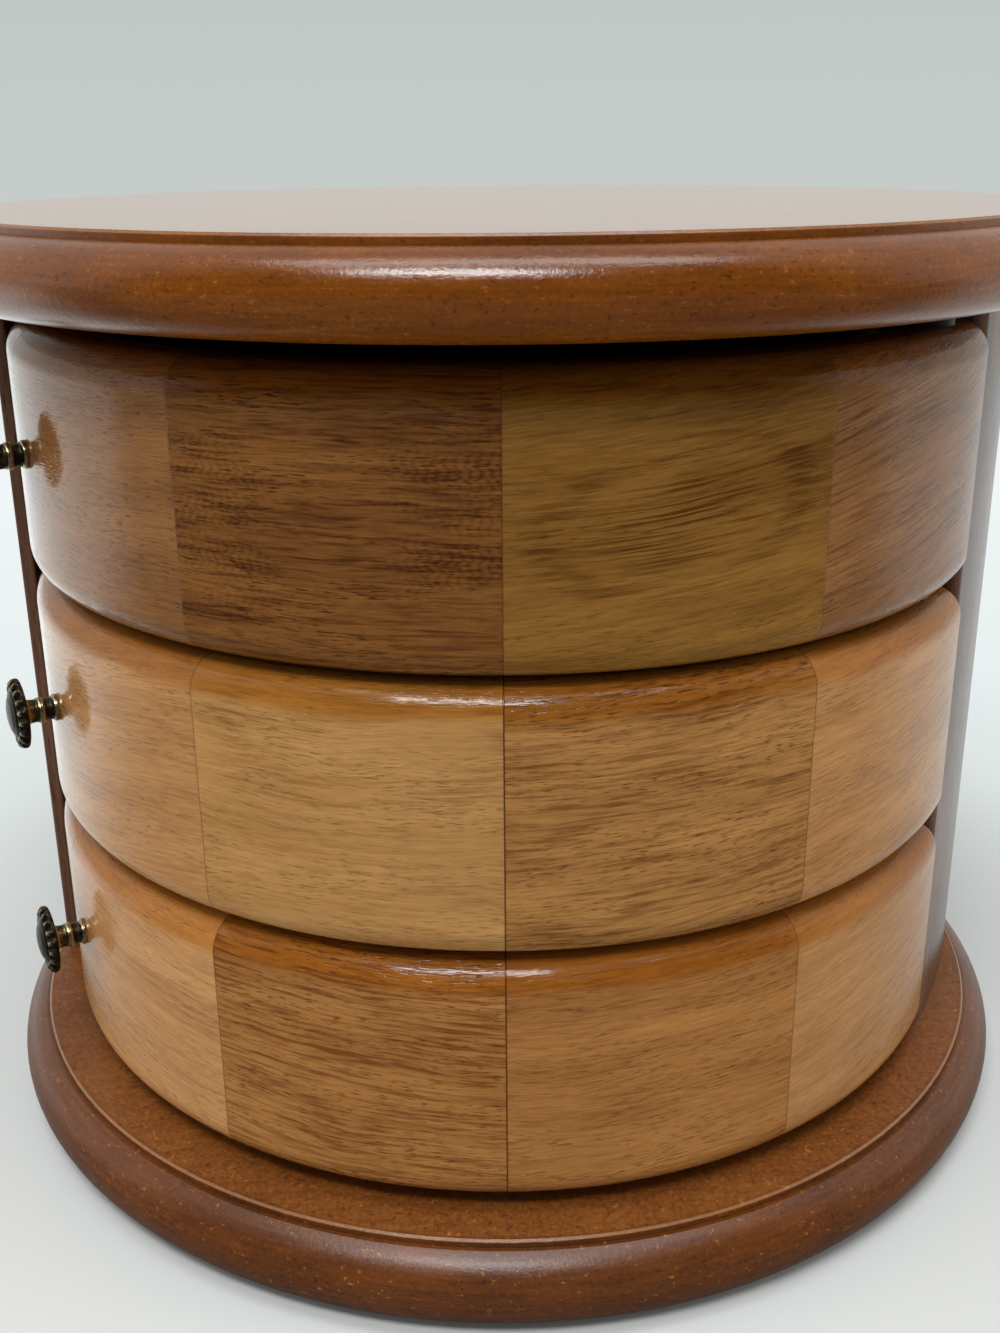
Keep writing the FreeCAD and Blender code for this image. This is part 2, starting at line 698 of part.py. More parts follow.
def make_lining(drawer, level, wall_height, inside):
    """Velvet on card, over the tray's floor and up its walls, let round the glue block."""
    play = cell("lining_play")
    card = cell("lining_thick")
    high = wall_height - cell("lining_drop")
    outer = tray_room(drawer + "_lining_outer", inner_radius - play, inside - play, high, level)
    hollow = tray_room(drawer + "_lining_hollow", inner_radius - play - card, inside - play - card, high,
                       level + card)
    cup = cut(drawer + "_lining_cup", outer, hollow)
    reach = cell("drawer_radius")
    notch = block(drawer + "_lining_notch",
                  (inside - cell("block_width") - play, -2 * reach, level - PAST),
                  (inside + PAST, pivot_y + cell("block_back") + play, level + wall_height))
    return settle(cut(drawer + "_lining_cut", cup, notch), drawer + "_lining")


def make_knob(drawer, number):
    """Turned stem with two rings, a lobed head with a low dome, and the screw that holds it."""
    level = drawer_level(number)
    seat = cell("knob_seat_high")
    ring = cell("knob_ring_start")
    ring_end = ring + cell("knob_ring_high")
    cove = cell("knob_cove")
    start = cell("knob_head_start")
    stem = cell("knob_stem_radius")
    front = start + cell("knob_rim_thick")
    dome = cell("knob_dome_radius")
    rise = cell("knob_dome_rise")
    body = new_body(drawer + "_knob_turned")
    corners = [(0, 0), (cell("knob_seat_radius"), 0), (cell("knob_seat_radius"), seat),
               (stem, seat + cove), (stem, ring - cove), (cell("knob_ring_radius"), ring),
               (cell("knob_ring_radius"), ring_end), (stem, ring_end + cove),
               (stem + cell("knob_flare"), start), (dome, start), (dome, front), (0, front + rise)]
    crown = (dome * dome + rise * rise) / (2 * rise)
    sketch = outline(body, drawer + "_knob_section", "XZ_Plane", corners, {10: crown})
    turned(body, sketch)

    lobed = new_body(drawer + "_knob_lobed")
    count = int(cell("knob_lobes").number)
    notches = cell("knob_head_radius") - cell("knob_lobe_depth")
    rim = []
    for lobe in range(count):
        angle = 360.0 / count * lobe
        rim.append((notches * cosine(angle), notches * sine(angle)))
    bows = {lobe: notches * sine(180.0 / count) * LOBE_BOW for lobe in range(count)}
    sketch = outline(lobed, drawer + "_knob_plan", "XY_Plane", rim, bows)
    padded(lobed, sketch, cell("knob_rim_thick"))
    place(lobed, z=start)

    head = doc.addObject("Part::Fuse", drawer + "_knob_whole")
    head.Base = body
    head.Tool = lobed
    bore = cylinder(drawer + "_knob_bore", cell("screw_radius"), cell("screw_bite") + PAST, z=-PAST)
    knob = cut(drawer + "_knob_drilled", head, bore)
    along_knob(knob, level, cell("drawer_radius"))
    settle(knob, drawer + "_knob")

    shank = cylinder(drawer + "_screw_shank", cell("screw_radius"),
                     cell("front_thick") + cell("screw_bite"))
    cap = cylinder(drawer + "_screw_cap", cell("screw_head_radius"), cell("screw_head_high"))
    screw = doc.addObject("Part::Fuse", drawer + "_screw_whole")
    screw.Base = shank
    screw.Tool = cap
    along_knob(screw, level, inner_radius)
    return [knob, settle(screw, drawer + "_knob_screw")]


def make_rolls():
    """Soft rolls that hold rings, side by side in the upper tray."""
    level = drawer_level(2) + floor_top + cell("lining_thick")
    count = int(cell("roll_count").number)
    rolls = []
    for number in range(count):
        y = cell("roll_middle") + (number - (count - 1) / 2.0) * cell("roll_pitch")
        body = new_body("roll_body_%d" % number)
        radius = cell("roll_radius")
        taper = cell("roll_taper")
        length = cell("roll_length")
        corners = [(0, 0), (radius - taper, 0), (radius, taper), (radius, length - taper),
                   (radius - taper, length), (0, length)]
        sketch = outline(body, "roll_section_%d" % number, "XZ_Plane", corners)
        turned(body, sketch)
        place(body, -length / 2, y, level + radius, (0, 1, 0), 90)
        rolls.append(body)
    return group("upper_ring_cushion", rolls)


def make_divider():
    """Divider across the middle tray."""
    level = drawer_level(1) + floor_top + cell("lining_thick")
    half = cell("divider_thick") / 2
    reach = cell("drawer_radius")
    plank = block("middle_plank", (-reach, cell("divider_y") - half, level),
                  (reach, cell("divider_y") + half, level + cell("divider_height")))
    play = cell("lining_play") + cell("lining_thick")
    plane = side_plane - cell("wall_thick") - play
    room = tray_room("middle_divider_room", inner_radius - play, plane, cell("divider_height"), level)
    return settle(common("middle_divider_cut", plank, room), "middle_divider")


def build():
    """Make every piece, in the order in which the box goes together."""
    pieces = make_boards()
    pieces.append(make_shell())
    pieces.append(make_post())
    pieces.append(group("case_screws", screw_solids("case_screw")))
    pieces.append(group("post_dowels", dowel_solids("post_dowel")))
    pieces.extend(make_pivot())
    pieces.append(make_bumpers())
    for number, drawer in enumerate(DRAWERS):
        pieces.extend(make_staves(drawer, number))
        pieces.extend(make_tray(drawer, number))
        pieces.extend(make_knob(drawer, number))
    pieces.append(make_rolls())
    pieces.append(make_divider())
    return pieces


def check(pieces):
    """Stop if any object failed or any piece is not a sound solid."""
    doc.recompute()
    for item in doc.Objects:
        if "Invalid" in item.State or "Error" in item.State:
            raise RuntimeError("failed object: %s %s" % (item.Name, item.State))
    for piece in pieces:
        if piece.Shape.isNull() or not piece.Shape.isValid() or not piece.Shape.Solids:
            raise RuntimeError("unsound piece: %s" % piece.Label)


def main():
    pieces = build()
    check(pieces)
    os.makedirs("parts", exist_ok=True)
    for piece in pieces:
        piece.Shape.exportStep("parts/%s.step" % piece.Label)
        box = piece.Shape.BoundBox
        print("%-22s solids %d volume %.1f z %.2f to %.2f"
              % (piece.Label, len(piece.Shape.Solids), piece.Shape.Volume, box.ZMin, box.ZMax))


main()
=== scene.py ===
"""Dressing of a round wooden jewellery box with three curved drawers that swing out on one rod.

Everything is in metres in the model's own frame: +Z up, the fronts look along -Y, and the drawers
hang at the +X side. Azimuths run round the box from -Y towards +X. Patterns on a surface are worked
out in millimetres.
"""
import math
from typing import NamedTuple

import bpy
import numpy as np
from bpy.props import FloatProperty, FloatVectorProperty, IntProperty, PointerProperty
from mathutils import Matrix, Vector


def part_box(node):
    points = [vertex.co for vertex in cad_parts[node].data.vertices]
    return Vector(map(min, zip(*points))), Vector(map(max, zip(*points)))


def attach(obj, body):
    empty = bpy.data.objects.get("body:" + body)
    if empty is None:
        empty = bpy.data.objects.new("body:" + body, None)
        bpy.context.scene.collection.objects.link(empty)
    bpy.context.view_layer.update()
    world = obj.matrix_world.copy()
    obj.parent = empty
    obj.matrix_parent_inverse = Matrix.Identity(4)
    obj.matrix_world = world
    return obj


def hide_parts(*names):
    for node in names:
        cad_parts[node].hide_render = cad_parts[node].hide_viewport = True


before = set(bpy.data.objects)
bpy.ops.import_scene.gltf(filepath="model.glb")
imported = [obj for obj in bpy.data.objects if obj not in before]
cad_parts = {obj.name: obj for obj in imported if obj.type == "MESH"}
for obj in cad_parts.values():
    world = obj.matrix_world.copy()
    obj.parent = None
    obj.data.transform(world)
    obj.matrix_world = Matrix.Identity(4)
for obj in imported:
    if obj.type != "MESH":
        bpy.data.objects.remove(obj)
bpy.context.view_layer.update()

bl_info = {
    "name": "Round Jewellery Box",
    "version": (1, 0, 0),
    "blender": (4, 5, 0),
    "location": "3D Viewport > Sidebar > Jewellery Box",
    "description": "Lacquered woods, brass knobs and velvet trays for a round jewellery box",
    "category": "Object",
}

MM = 1000.0
DRAWERS = ("lower", "middle", "upper")

# How far fine relief stands out of a surface, and how far new pieces stay inside the model's own.
RELIEF = 0.0002
CLEARANCE = 0.0003

# The drawers' round fronts: their middle, their radius, and the azimuths, in degrees, where the staves
# begin and end.
FRONT_CENTRE_Y = -0.0029
FRONT_RADIUS = 0.100
STAVE_JOINTS = (-88.0, -64.0, -32.0, 0.0, 32.0, 64.0)

# The step round the flat of both boards, and where the knobs stand on the fronts.
STEP_RADIUS = 0.109
KNOB_AZIMUTH = math.radians(-62.0)


def tone(red, green, blue):
    """Linear colour of a screen colour that is given in 0 to 255."""
    shares = np.array((red, green, blue)) / 255.0
    linear = np.where(shares > 0.04045, ((shares + 0.055) / 1.055) ** 2.4, shares / 12.92)
    return tuple(linear.tolist())


def rgba(value):
    """A colour triple as the four numbers that a socket takes; anything else unchanged."""
    if isinstance(value, (tuple, list)) and len(value) == 3:
        return (*value, 1.0)
    return value


class Shade:
    """One output of a shader node. Arithmetic on it adds the Math nodes that work it out."""

    def __init__(self, tree, socket):
        self.tree = tree
        self.socket = socket

    def _maths(self, operation, *values):
        return self.tree.node("ShaderNodeMath", {"operation": operation}, values)

    def __add__(self, other):
        return self._maths("ADD", self, other)

    def __sub__(self, other):
        return self._maths("SUBTRACT", self, other)

    def __mul__(self, other):
        return self._maths("MULTIPLY", self, other)

    def __truediv__(self, other):
        return self._maths("DIVIDE", self, other)

    def __pow__(self, other):
        return self._maths("POWER", self, other)

    def __radd__(self, other):
        return self._maths("ADD", other, self)

    def __rsub__(self, other):
        return self._maths("SUBTRACT", other, self)

    def __rmul__(self, other):
        return self._maths("MULTIPLY", other, self)

    def __rtruediv__(self, other):
        return self._maths("DIVIDE", other, self)

    def __neg__(self):
        return self._maths("MULTIPLY", self, -1.0)

    def sin(self):
        return self._maths("SINE", self)

    def size(self):
        return self._maths("ABSOLUTE", self)

    def angle_to(self, other):
        """Angle whose tangent is this value over the other."""
        return self._maths("ARCTAN2", self, other)

    def least(self, other):
        return self._maths("MINIMUM", self, other)

    def most(self, other):
        return self._maths("MAXIMUM", self, other)

    def step(self, low, high):
        """0 at low and before it, 1 at high and past it, and a smooth slope between them."""
        settings = {"interpolation_type": "SMOOTHSTEP"}
        return self.tree.node("ShaderNodeMapRange", settings, {0: self, 1: low, 2: high})


class Tree:
    """Nodes of a material or of the world, written as expressions."""

    def __init__(self, node_tree):
        self.nodes = node_tree
        self.nodes.nodes.clear()

    def node(self, kind, settings=None, values=(), output=0):
        """Add a node: first its settings, then the values or links of its sockets."""
        made = self.nodes.nodes.new(kind)
        for name, value in (settings or {}).items():
            if name == "stops":
                self._stops(made.color_ramp, value)
            else:
                setattr(made, name, value)
        pairs = values.items() if isinstance(values, dict) else enumerate(values)
        for key, value in pairs:
            if isinstance(value, Shade):
                self.nodes.links.new(value.socket, made.inputs[key])
            else:
                made.inputs[key].default_value = value
        return Shade(self, made.outputs[output]) if len(made.outputs) else None

    @staticmethod
    def _stops(ramp, stops):
        while len(ramp.elements) > 1:
            ramp.elements.remove(ramp.elements[0])
        for number, (place, colour) in enumerate(stops):
            element = ramp.elements[0] if number == 0 else ramp.elements.new(place)
            element.position = place
            element.color = rgba(colour)

    def ramp(self, value, *stops):
        """Colour that goes through the stops, each a place and a colour, as the value grows."""
        return self.node("ShaderNodeValToRGB", {"stops": stops}, (value,))

    def mix(self, share, first, second, blend="MIX"):
        """Mix two colours by a share, with the given blend."""
        settings = {"data_type": "RGBA", "blend_type": blend}
        return self.node("ShaderNodeMix", settings, {0: share, 6: rgba(first), 7: rgba(second)}, 2)

    def parts(self, vector):
        """The three numbers of a vector."""
        split = self.node("ShaderNodeSeparateXYZ", None, (vector,))
        return [Shade(self, output) for output in split.socket.node.outputs]

    def ray(self, kind):
        """1 for rays of this kind and 0 for all others."""
        return self.node("ShaderNodeLightPath", None, (), kind)

    def noise(self, place, cell, detail=2.0, rough=0.5):
        """Soft noise from 0 to 1 at a place of three values. cell is its size, for all three or each."""
        sizes = cell if isinstance(cell, tuple) else (cell, cell, cell)
        where = self.node("ShaderNodeCombineXYZ", None, [v / size for v, size in zip(place, sizes)])
        values = {"Vector": where, "Scale": 1.0, "Detail": detail, "Roughness": rough}
        return self.node("ShaderNodeTexNoise", None, values)


class Finish(Tree):
    """A material."""

    def __init__(self, name):
        self.material = bpy.data.materials.new(name)
        self.material.use_nodes = True
        super().__init__(self.material.node_tree)

    def place(self):
        """Object coordinates in millimetres, as three values."""
        where = self.node("ShaderNodeTexCoord", None, (), "Object")
        return [value * MM for value in self.parts(where)]

    def round_wall(self, x, y, radius, centre_y=0.0):
        """Place on a round wall: the arc from -Y along a wall of this radius, and how far out it is."""
        ahead = centre_y * MM - y
        return x.angle_to(ahead) * (radius * MM), (x * x + ahead * ahead) ** 0.5

    def bump(self, height, strength, distance):
        """Normal of a surface with this height; distance is how far 1 stands out, in metres."""
        values = {"Strength": strength, "Distance": distance, "Height": height}
        return self.node("ShaderNodeBump", None, values)

    def surface(self, **values):
        """Principled shader from plain values and links, as the material's surface."""
        sockets = {name.replace("_", " "): rgba(value) for name, value in values.items()}
        shader = self.node("ShaderNodeBsdfPrincipled", None, sockets)
        self.node("ShaderNodeOutputMaterial", None, {"Surface": shader})
        return self.material


def lacquered(finish, colour, normal, rough, body):
    """Wood under clear lacquer, whose gloss breaks up on the fine relief of the grain.

    body is the lacquer's index of refraction, so how strong its gloss is.
    """
    return finish.surface(Base_Color=colour, Roughness=rough, IOR=body, Normal=normal)


def dress(node, material):
    """Give a model piece its material in place of the plain one."""
    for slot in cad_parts[node].material_slots:
        slot.material = material


def corners_of(node):
    """Lowest and highest corner of a model piece's box, as arrays in metres."""
    low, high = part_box(node)
    return np.array(low), np.array(high)


class Plank(NamedTuple):
    """How the wood of one stave looks: its tones and the run of its grain, in millimetres.

    eye is a figure's middle, along and across the grain, and how much it is drawn out along it. core
    is how dark the strokes inside the figure are, bowl how dark its outline, scales how dark the
    small arcs at its two ends, and climb how much darker the wood is painted towards its top edge, as
    painted shade under the top board.
    """
    light: tuple
    dark: tuple
    streaks: float = 0.5
    pores: float = 0.5
    slope: float = 0.0
    wave: float = 3.0
    eye: tuple = ()
    core: float = 0.0
    bowl: float = 0.0
    scales: float = 0.0
    painted_top_shade: float = 0.0


# The darker rosy tones are the rosy ones darkened as painted shade under the top board, for the upper
# front; UMBER and OLIVE, also only on the upper front, are darkened in part as painted shade too.
ROSY = (tone(182, 134, 84), tone(130, 84, 44))
ROSY_PAINTED_SHADE = (tone(140, 96, 56), tone(88, 52, 22))
UMBER = (tone(126, 82, 38), tone(70, 34, 8))
OLIVE = (tone(134, 94, 40), tone(78, 44, 8))
HONEY = (tone(180, 136, 82), tone(132, 88, 44))
GOLDEN = (tone(172, 124, 70), tone(112, 70, 30))
TAN = (tone(170, 118, 64), tone(112, 66, 26))
SANDY = (tone(196, 146, 94), tone(146, 98, 56))

PLANKS = {
    ("upper", 1): Plank(*ROSY_PAINTED_SHADE, slope=-0.05),
    ("upper", 2): Plank(*ROSY_PAINTED_SHADE, streaks=0.4, pores=0.8, slope=0.03),
    ("upper", 3): Plank(*UMBER, streaks=0.8, pores=1.0, wave=2.0, eye=(-5.0, 1.0, 0.45), bowl=0.12,
                        scales=0.28),
    ("upper", 4): Plank(*OLIVE, streaks=0.35, pores=0.5, slope=0.1, eye=(0.0, 1.5, 0.55), core=0.6,
                        bowl=0.3, painted_top_shade=0.22),
    ("upper", 5): Plank(*ROSY_PAINTED_SHADE, streaks=0.8, pores=0.8, slope=0.2),
    ("middle", 1): Plank(*ROSY, slope=0.1),
    ("middle", 2): Plank(*ROSY, streaks=0.4, pores=0.6, slope=0.12),
    ("middle", 3): Plank(*HONEY, streaks=0.45, pores=0.7, wave=5.0, eye=(4.0, 16.0, 0.5), bowl=0.25),
    ("middle", 4): Plank(*GOLDEN, streaks=0.85, pores=1.0, slope=0.05, wave=4.0),
    ("middle", 5): Plank(*ROSY, streaks=0.4, pores=0.6, slope=0.12),
    ("lower", 1): Plank(*SANDY, slope=-0.1),
    ("lower", 2): Plank(*SANDY, streaks=0.4, pores=0.6, slope=-0.06),
    ("lower", 3): Plank(*TAN, streaks=1.1, pores=1.0, slope=-0.03, wave=4.0),
    ("lower", 4): Plank(*TAN, streaks=0.4, pores=0.7, slope=0.04, wave=4.0),
    ("lower", 5): Plank(*ROSY, streaks=0.3, pores=0.4, slope=0.12),
}

# Millimetres that the marks in the fronts' wood take up along the grain, across it and into the wood.
BEND = (38.0, 22.0, 40.0)
BAND = (45.0, 7.0, 9.0)
STROKE = (13.0, 0.75, 0.75)
LONG_STROKE = (24.0, 0.55, 0.6)
FIBRE = (5.0, 0.4, 0.4)
PORE = (2.6, 0.3, 0.3)
CLUSTER = (26.0, 6.0, 6.0)
CLUSTER_OFFSET = 240.0

# Radius of a figure in the grain. Then how far from a joint its dark line starts to fade and is gone,
# how far from the middle joint the lines start to weaken and show half as much, and their tone.
EYE_RADIUS = 12.0
JOINT_LINE = (0.05, 0.22)
OUTER_JOINTS = (5.0, 10.0)
JOINT_TONE = tone(56, 26, 10)

# Amber where a front rounds over, partly stain where the lacquer gathers and partly painted shade: how far
# below the top edge it starts and is full. The same above the foot of the lower drawer for a painted
# reflection of the golden ledge. Then the share of each colour that the amber and that reflection let
# through.
AMBER_AND_SHADE_TOP = (7.0, 3.5)
LEDGE_REFLECTION_FOOT = (1.5, 5.0)
AMBER_AND_SHADE = (0.70, 0.53, 0.24)
PAINTED_LEDGE_REFLECTION = (0.8, 0.62, 0.36)


def eye_strokes(finish, plank, place, along, stroke, bend):
    """How much an eye in the grain darkens the wood.

    The eye is a set of ovals round its middle, wavered by the bend. The strokes are dark on the oval
    of EYE_RADIUS, and long strokes are dark inside it.
    """
    eye_along, eye_across, pinch = plank.eye
    beside = (along - eye_along) * pinch
    over = place[1] - eye_across
    ring = (beside * beside + over * over) ** 0.5 + (bend - 0.5) * 3.0
    outline = 1.0 - (ring - EYE_RADIUS).size().step(0.3, 2.6)
    inside = 1.0 - ring.step(EYE_RADIUS / 3.0, EYE_RADIUS)
    long_stroke = finish.noise(place, LONG_STROKE, detail=1.0)
    return (outline * (stroke.step(0.35, 0.6) * plank.bowl)
            + inside * (long_stroke.step(0.48, 0.66) * plank.core))


def end_arcs(plank, along, across, line, fibre, cluster):
    """How much the small arcs towards a stave's two ends darken the wood.

    They are sines along the grain whose phase swings as another sine across it, and they come in
    patches that leave out the middle and the two edges.
    """
    swing = (line * 2.4 + (cluster - 0.5) * 9.0).sin()
    arcs = (along.size() * 3.9 + swing * 1.5 + (fibre - 0.5) * 8.0).sin().step(-0.3, 0.9)
    patch = along.size().step(6.0, 15.0) * cluster.step(0.3, 0.7)
    return arcs * patch * (1.0 - across.size().step(8.0, 20.0)) * plank.scales


def front_wood(drawer, number, plank):
    """Lacquered wood of one stave.

    The grain's lines are level sets of the height, tilted and waved. Strokes, fibres and pores are
    noises that are long along those lines and short across them. The shade that they add up to picks
    a tone between the plank's light and dark. Then come pores, an amber top edge that is partly stain
    where the lacquer gathers and partly painted shade, a painted reflection of the golden ledge at the
    lower drawer's foot, and the joints' lines.
    """
    stave = "%s_stave_%d" % (drawer, number)
    finish = Finish(stave + "_wood")
    low, high = (corner[2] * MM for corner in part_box(stave))
    start, end = (math.radians(side) * FRONT_RADIUS * MM for side in STAVE_JOINTS[number - 1:number + 1])
    seed = 7.3 * number + 31.7 * DRAWERS.index(drawer)
    x, y, z = finish.place()
    arc, out = finish.round_wall(x, y, FRONT_RADIUS, FRONT_CENTRE_Y)
    depth = FRONT_RADIUS * MM - out
    along = arc - (start + end) / 2.0
    across = z - (low + high) / 2.0

    bend = finish.noise((along + seed * BEND[0], across, depth), BEND)
    line = across - along * plank.slope + (bend - 0.5) * plank.wave
    place = (along + seed * 13.0, line, depth + seed)
    band = finish.noise(place, BAND)
    stroke = finish.noise(place, STROKE, rough=0.6)
    fibre = finish.noise(place, FIBRE, rough=0.6)
    pore = finish.noise(place, PORE, detail=1.0)
    cluster = finish.noise((place[0], line + CLUSTER_OFFSET, place[2]), CLUSTER)

    strokes = stroke.step(0.44, 0.68)
    shade = band.step(0.25, 0.75) * 0.4 + strokes * (0.55 * plank.streaks) + (fibre - 0.5) * 0.9 + 0.12
    if plank.eye:
        shade = shade + eye_strokes(finish, plank, place, along, stroke, bend)
    if plank.scales:
        shade = shade + end_arcs(plank, along, across, line, fibre, cluster)
    # Painted shade under the top board: the wood darkens towards the top edge.
    if plank.painted_top_shade:
        shade = shade + across * (plank.painted_top_shade / 25.0)
    colour = finish.ramp(shade, (0.0, plank.light), (1.0, plank.dark))
    pored = pore.step(0.56, 0.7) * cluster.step(0.3, 0.6) * plank.pores
    colour = finish.mix(pored * 0.8, colour, tuple(value * 0.5 for value in plank.dark))

    ragged = (bend - 0.5) * 5.0
    # Amber at the top edge: partly stain where the lacquer gathers, partly painted shade.
    edge = (z + ragged).step(high - AMBER_AND_SHADE_TOP[0], high - AMBER_AND_SHADE_TOP[1])
    colour = finish.mix(edge, colour, AMBER_AND_SHADE, "MULTIPLY")
    # Painted reflection of the golden ledge, darkening the lower drawer's front just above its foot.
    if drawer == "lower":
        foot = 1.0 - (z + ragged * 0.5).step(low + LEDGE_REFLECTION_FOOT[0], low + LEDGE_REFLECTION_FOOT[1])
        colour = finish.mix(foot * 0.7, colour, PAINTED_LEDGE_REFLECTION, "MULTIPLY")
    beside_joint = (arc - start).size().least((end - arc).size())
    joint = (1.0 - beside_joint.step(*JOINT_LINE)) * (1.0 - arc.size().step(*OUTER_JOINTS) * 0.5)
    colour = finish.mix(joint * (0.4 if drawer == "upper" else 0.85), colour, JOINT_TONE)
    relief = pored + joint + fibre * 0.7 + stroke * 0.5
    normal = finish.bump(relief, 0.3, -RELIEF)
    return lacquered(finish, colour, normal, rough=0.09 + strokes * 0.06, body=1.36)


class Stain(NamedTuple):
    """How a board is finished: how much darker it is, and how rough its rim and its flat are."""
    depth: float
    rim_rough: float
    flat_rough: float


BOARDS = {"base_disc": Stain(0.15, 0.34, 0.5), "top_disc": Stain(0.03, 0.18, 0.1)}
RIM_TONES = ((0.1, tone(56, 26, 6)), (0.5, tone(108, 56, 7)), (0.85, tone(154, 90, 16)))
FLAT_TONES = ((0.2, tone(96, 48, 8)), (0.5, tone(134, 80, 26)), (0.8, tone(170, 116, 54)))
CASE_TONES = ((0.2, tone(58, 40, 30)), (0.5, tone(94, 67, 52)), (0.85, tone(130, 98, 80)))
TRAY_TONES = ((0.3, tone(206, 172, 124)), (0.7, tone(174, 132, 84)))
BRASS_TONES = ((0.0, tone(52, 46, 36)), (0.5, tone(108, 92, 62)), (1.0, tone(182, 170, 138)))
PALE_FLECK = tone(190, 128, 62)
DARK_FLECK = tone(40, 16, 4)
FLECK_OFFSET = 11.7
RUBBED = tone(178, 130, 88)
CASE_PORE = tone(44, 20, 10)
TRAY_PORE = tone(128, 88, 50)


def board_stain(board, stain):
    """Red-brown stain on a board's fine, flecked stuff, lighter on the flat inside the step.

    The flat is found by height and by distance from the axis, and the step's edge is rubbed pale.
    The rim is brushed along its round, and the flat has straight grain and more grit.
    """
    finish = Finish(board + "_stain")
    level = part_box(board)[1][2] * MM
    step = STEP_RADIUS * MM
    x, y, z = finish.place()
    arc, out = finish.round_wall(x, y, STEP_RADIUS)
    bend = finish.noise((x, y, z), (70.0, 40.0, 40.0))
    cloud = finish.noise((x, y, z), (26.0, 26.0, 12.0), detail=3.0)
    brushed = finish.noise((arc, z, out), (11.0, 0.8, 1.0), detail=3.0, rough=0.6)
    waved = (x, y + (bend - 0.5) * 22.0, z)
    straight = finish.noise(waved, (40.0, 1.4, 3.0), detail=3.0, rough=0.6)
    grit = finish.noise((x, y, z), 0.8, detail=3.0, rough=0.7)
    fleck = finish.noise((x + FLECK_OFFSET, y, z), (1.3, 1.3, 0.8), rough=0.6)

    flat = (1.0 - out.step(step - 1.2, step - 0.2)) * z.step(level - 4.0, level - 2.0)
    lines = brushed * (0.4 - flat * 0.4) + straight * (flat * 0.25)
    shade = cloud * (0.4 - flat * 0.15) + lines + grit * (0.35 + flat * 0.4) - 0.1 - flat * 0.08
    rim_colour = finish.ramp(shade - stain.depth, *RIM_TONES)
    flat_colour = finish.ramp(shade - stain.depth * 0.8, *FLAT_TONES)
    colour = finish.mix(flat, rim_colour, flat_colour)
    pale_flecks = fleck.step(0.62, 0.76) * (0.15 + stain.depth * 1.6)
    colour = finish.mix(pale_flecks, colour, PALE_FLECK)
    dark_flecks = (1.0 - fleck.step(0.28, 0.4)) * 0.55
    colour = finish.mix(dark_flecks, colour, DARK_FLECK)
    rubbed = (1.0 - (out - step).size().step(0.15, 0.7)) * z.step(level - 0.7, level - 0.2)
    colour = finish.mix(rubbed * (stain.depth * 1.5 + grit * 0.4), colour, RUBBED)
    relief = grit * (1.0 - flat * 0.75) + brushed * (0.4 - flat * 0.4)
    rough = stain.rim_rough + flat * (stain.flat_rough - stain.rim_rough)
    return lacquered(finish, colour, finish.bump(relief, 0.28, RELIEF), rough=rough, body=1.5)


def case_wood():
    """Stained wood of the back and the post, with its grain upright."""
    finish = Finish("case_wood")
    x, y, z = finish.place()
    arc, out = finish.round_wall(x, y, FRONT_RADIUS)
    bend = finish.noise((arc, z, out), (30.0, 60.0, 30.0))
    line = arc + (bend - 0.5) * 9.0
    band = finish.noise((line, z, out), (9.0, 90.0, 9.0), detail=3.0)
    streak = finish.noise((line, z, out), (1.6, 60.0, 1.6), detail=3.0, rough=0.6)
    pore = finish.noise((line, z, out), (0.35, 5.0, 0.35), detail=1.0)
    shade = band * 0.6 + streak * 0.6 - 0.12
    colour = finish.ramp(shade, *CASE_TONES)
    pored = pore.step(0.58, 0.72) * 0.5
    colour = finish.mix(pored, colour, CASE_PORE)
    return lacquered(finish, colour, finish.bump(pored, 0.2, -RELIEF), rough=0.2, body=1.22)


def tray_wood(name, bent):
    """Pale plain wood of the trays, thinly lacquered; the grain of a bent wall follows it round."""
    finish = Finish(name)
    x, y, z = finish.place()
    if bent:
        x, y = finish.round_wall(x, y, FRONT_RADIUS, FRONT_CENTRE_Y)
    sway = (finish.noise((x, y, z), (60.0, 30.0, 30.0)) - 0.5) * 12.0
    swayed = (x, y + sway, z + sway)
    streak = finish.noise(swayed, (50.0, 2.2, 2.2), detail=3.0, rough=0.6)
    pore = finish.noise(swayed, (6.0, 0.3, 0.3), detail=1.0)
    colour = finish.ramp(streak, *TRAY_TONES)
    pored = pore.step(0.6, 0.72) * 0.35
    colour = finish.mix(pored, colour, TRAY_PORE)
    return finish.surface(Base_Color=colour, Roughness=0.5, Coat_Weight=0.25, Coat_Roughness=0.25,
                          Normal=finish.bump(pored, 0.3, -RELIEF))


def velvet(name, colour):
    """Cut pile whose patches, where the pile lies another way, are painted darker as painted shade in some
    places and paler as painted sheen in others.
    """
    finish = Finish(name)
    place = finish.place()
    pile = finish.noise(place, 0.35, rough=0.7)
    sheen_and_shade_patches = finish.noise(place, (16.0, 11.0, 14.0), detail=3.0, rough=0.6)
    painted_pile_shade = tuple(value * 0.55 for value in colour)
    pale = tuple(min(1.0, value * 1.5 + 0.015) for value in colour)
    # Painted shade of the pile and painted sheen, laid on patches of the pile's lie.
    shaded = finish.ramp(sheen_and_shade_patches * 0.7 + pile * 0.3, (0.35, painted_pile_shade), (0.5, colour), (0.66, pale))
    return finish.surface(Base_Color=shaded, Roughness=0.9, Specular_IOR_Level=0.15, Sheen_Weight=0.9,
                          Sheen_Roughness=0.4, Sheen_Tint=pale, Normal=finish.bump(pile, 0.5, 1.5 * RELIEF))


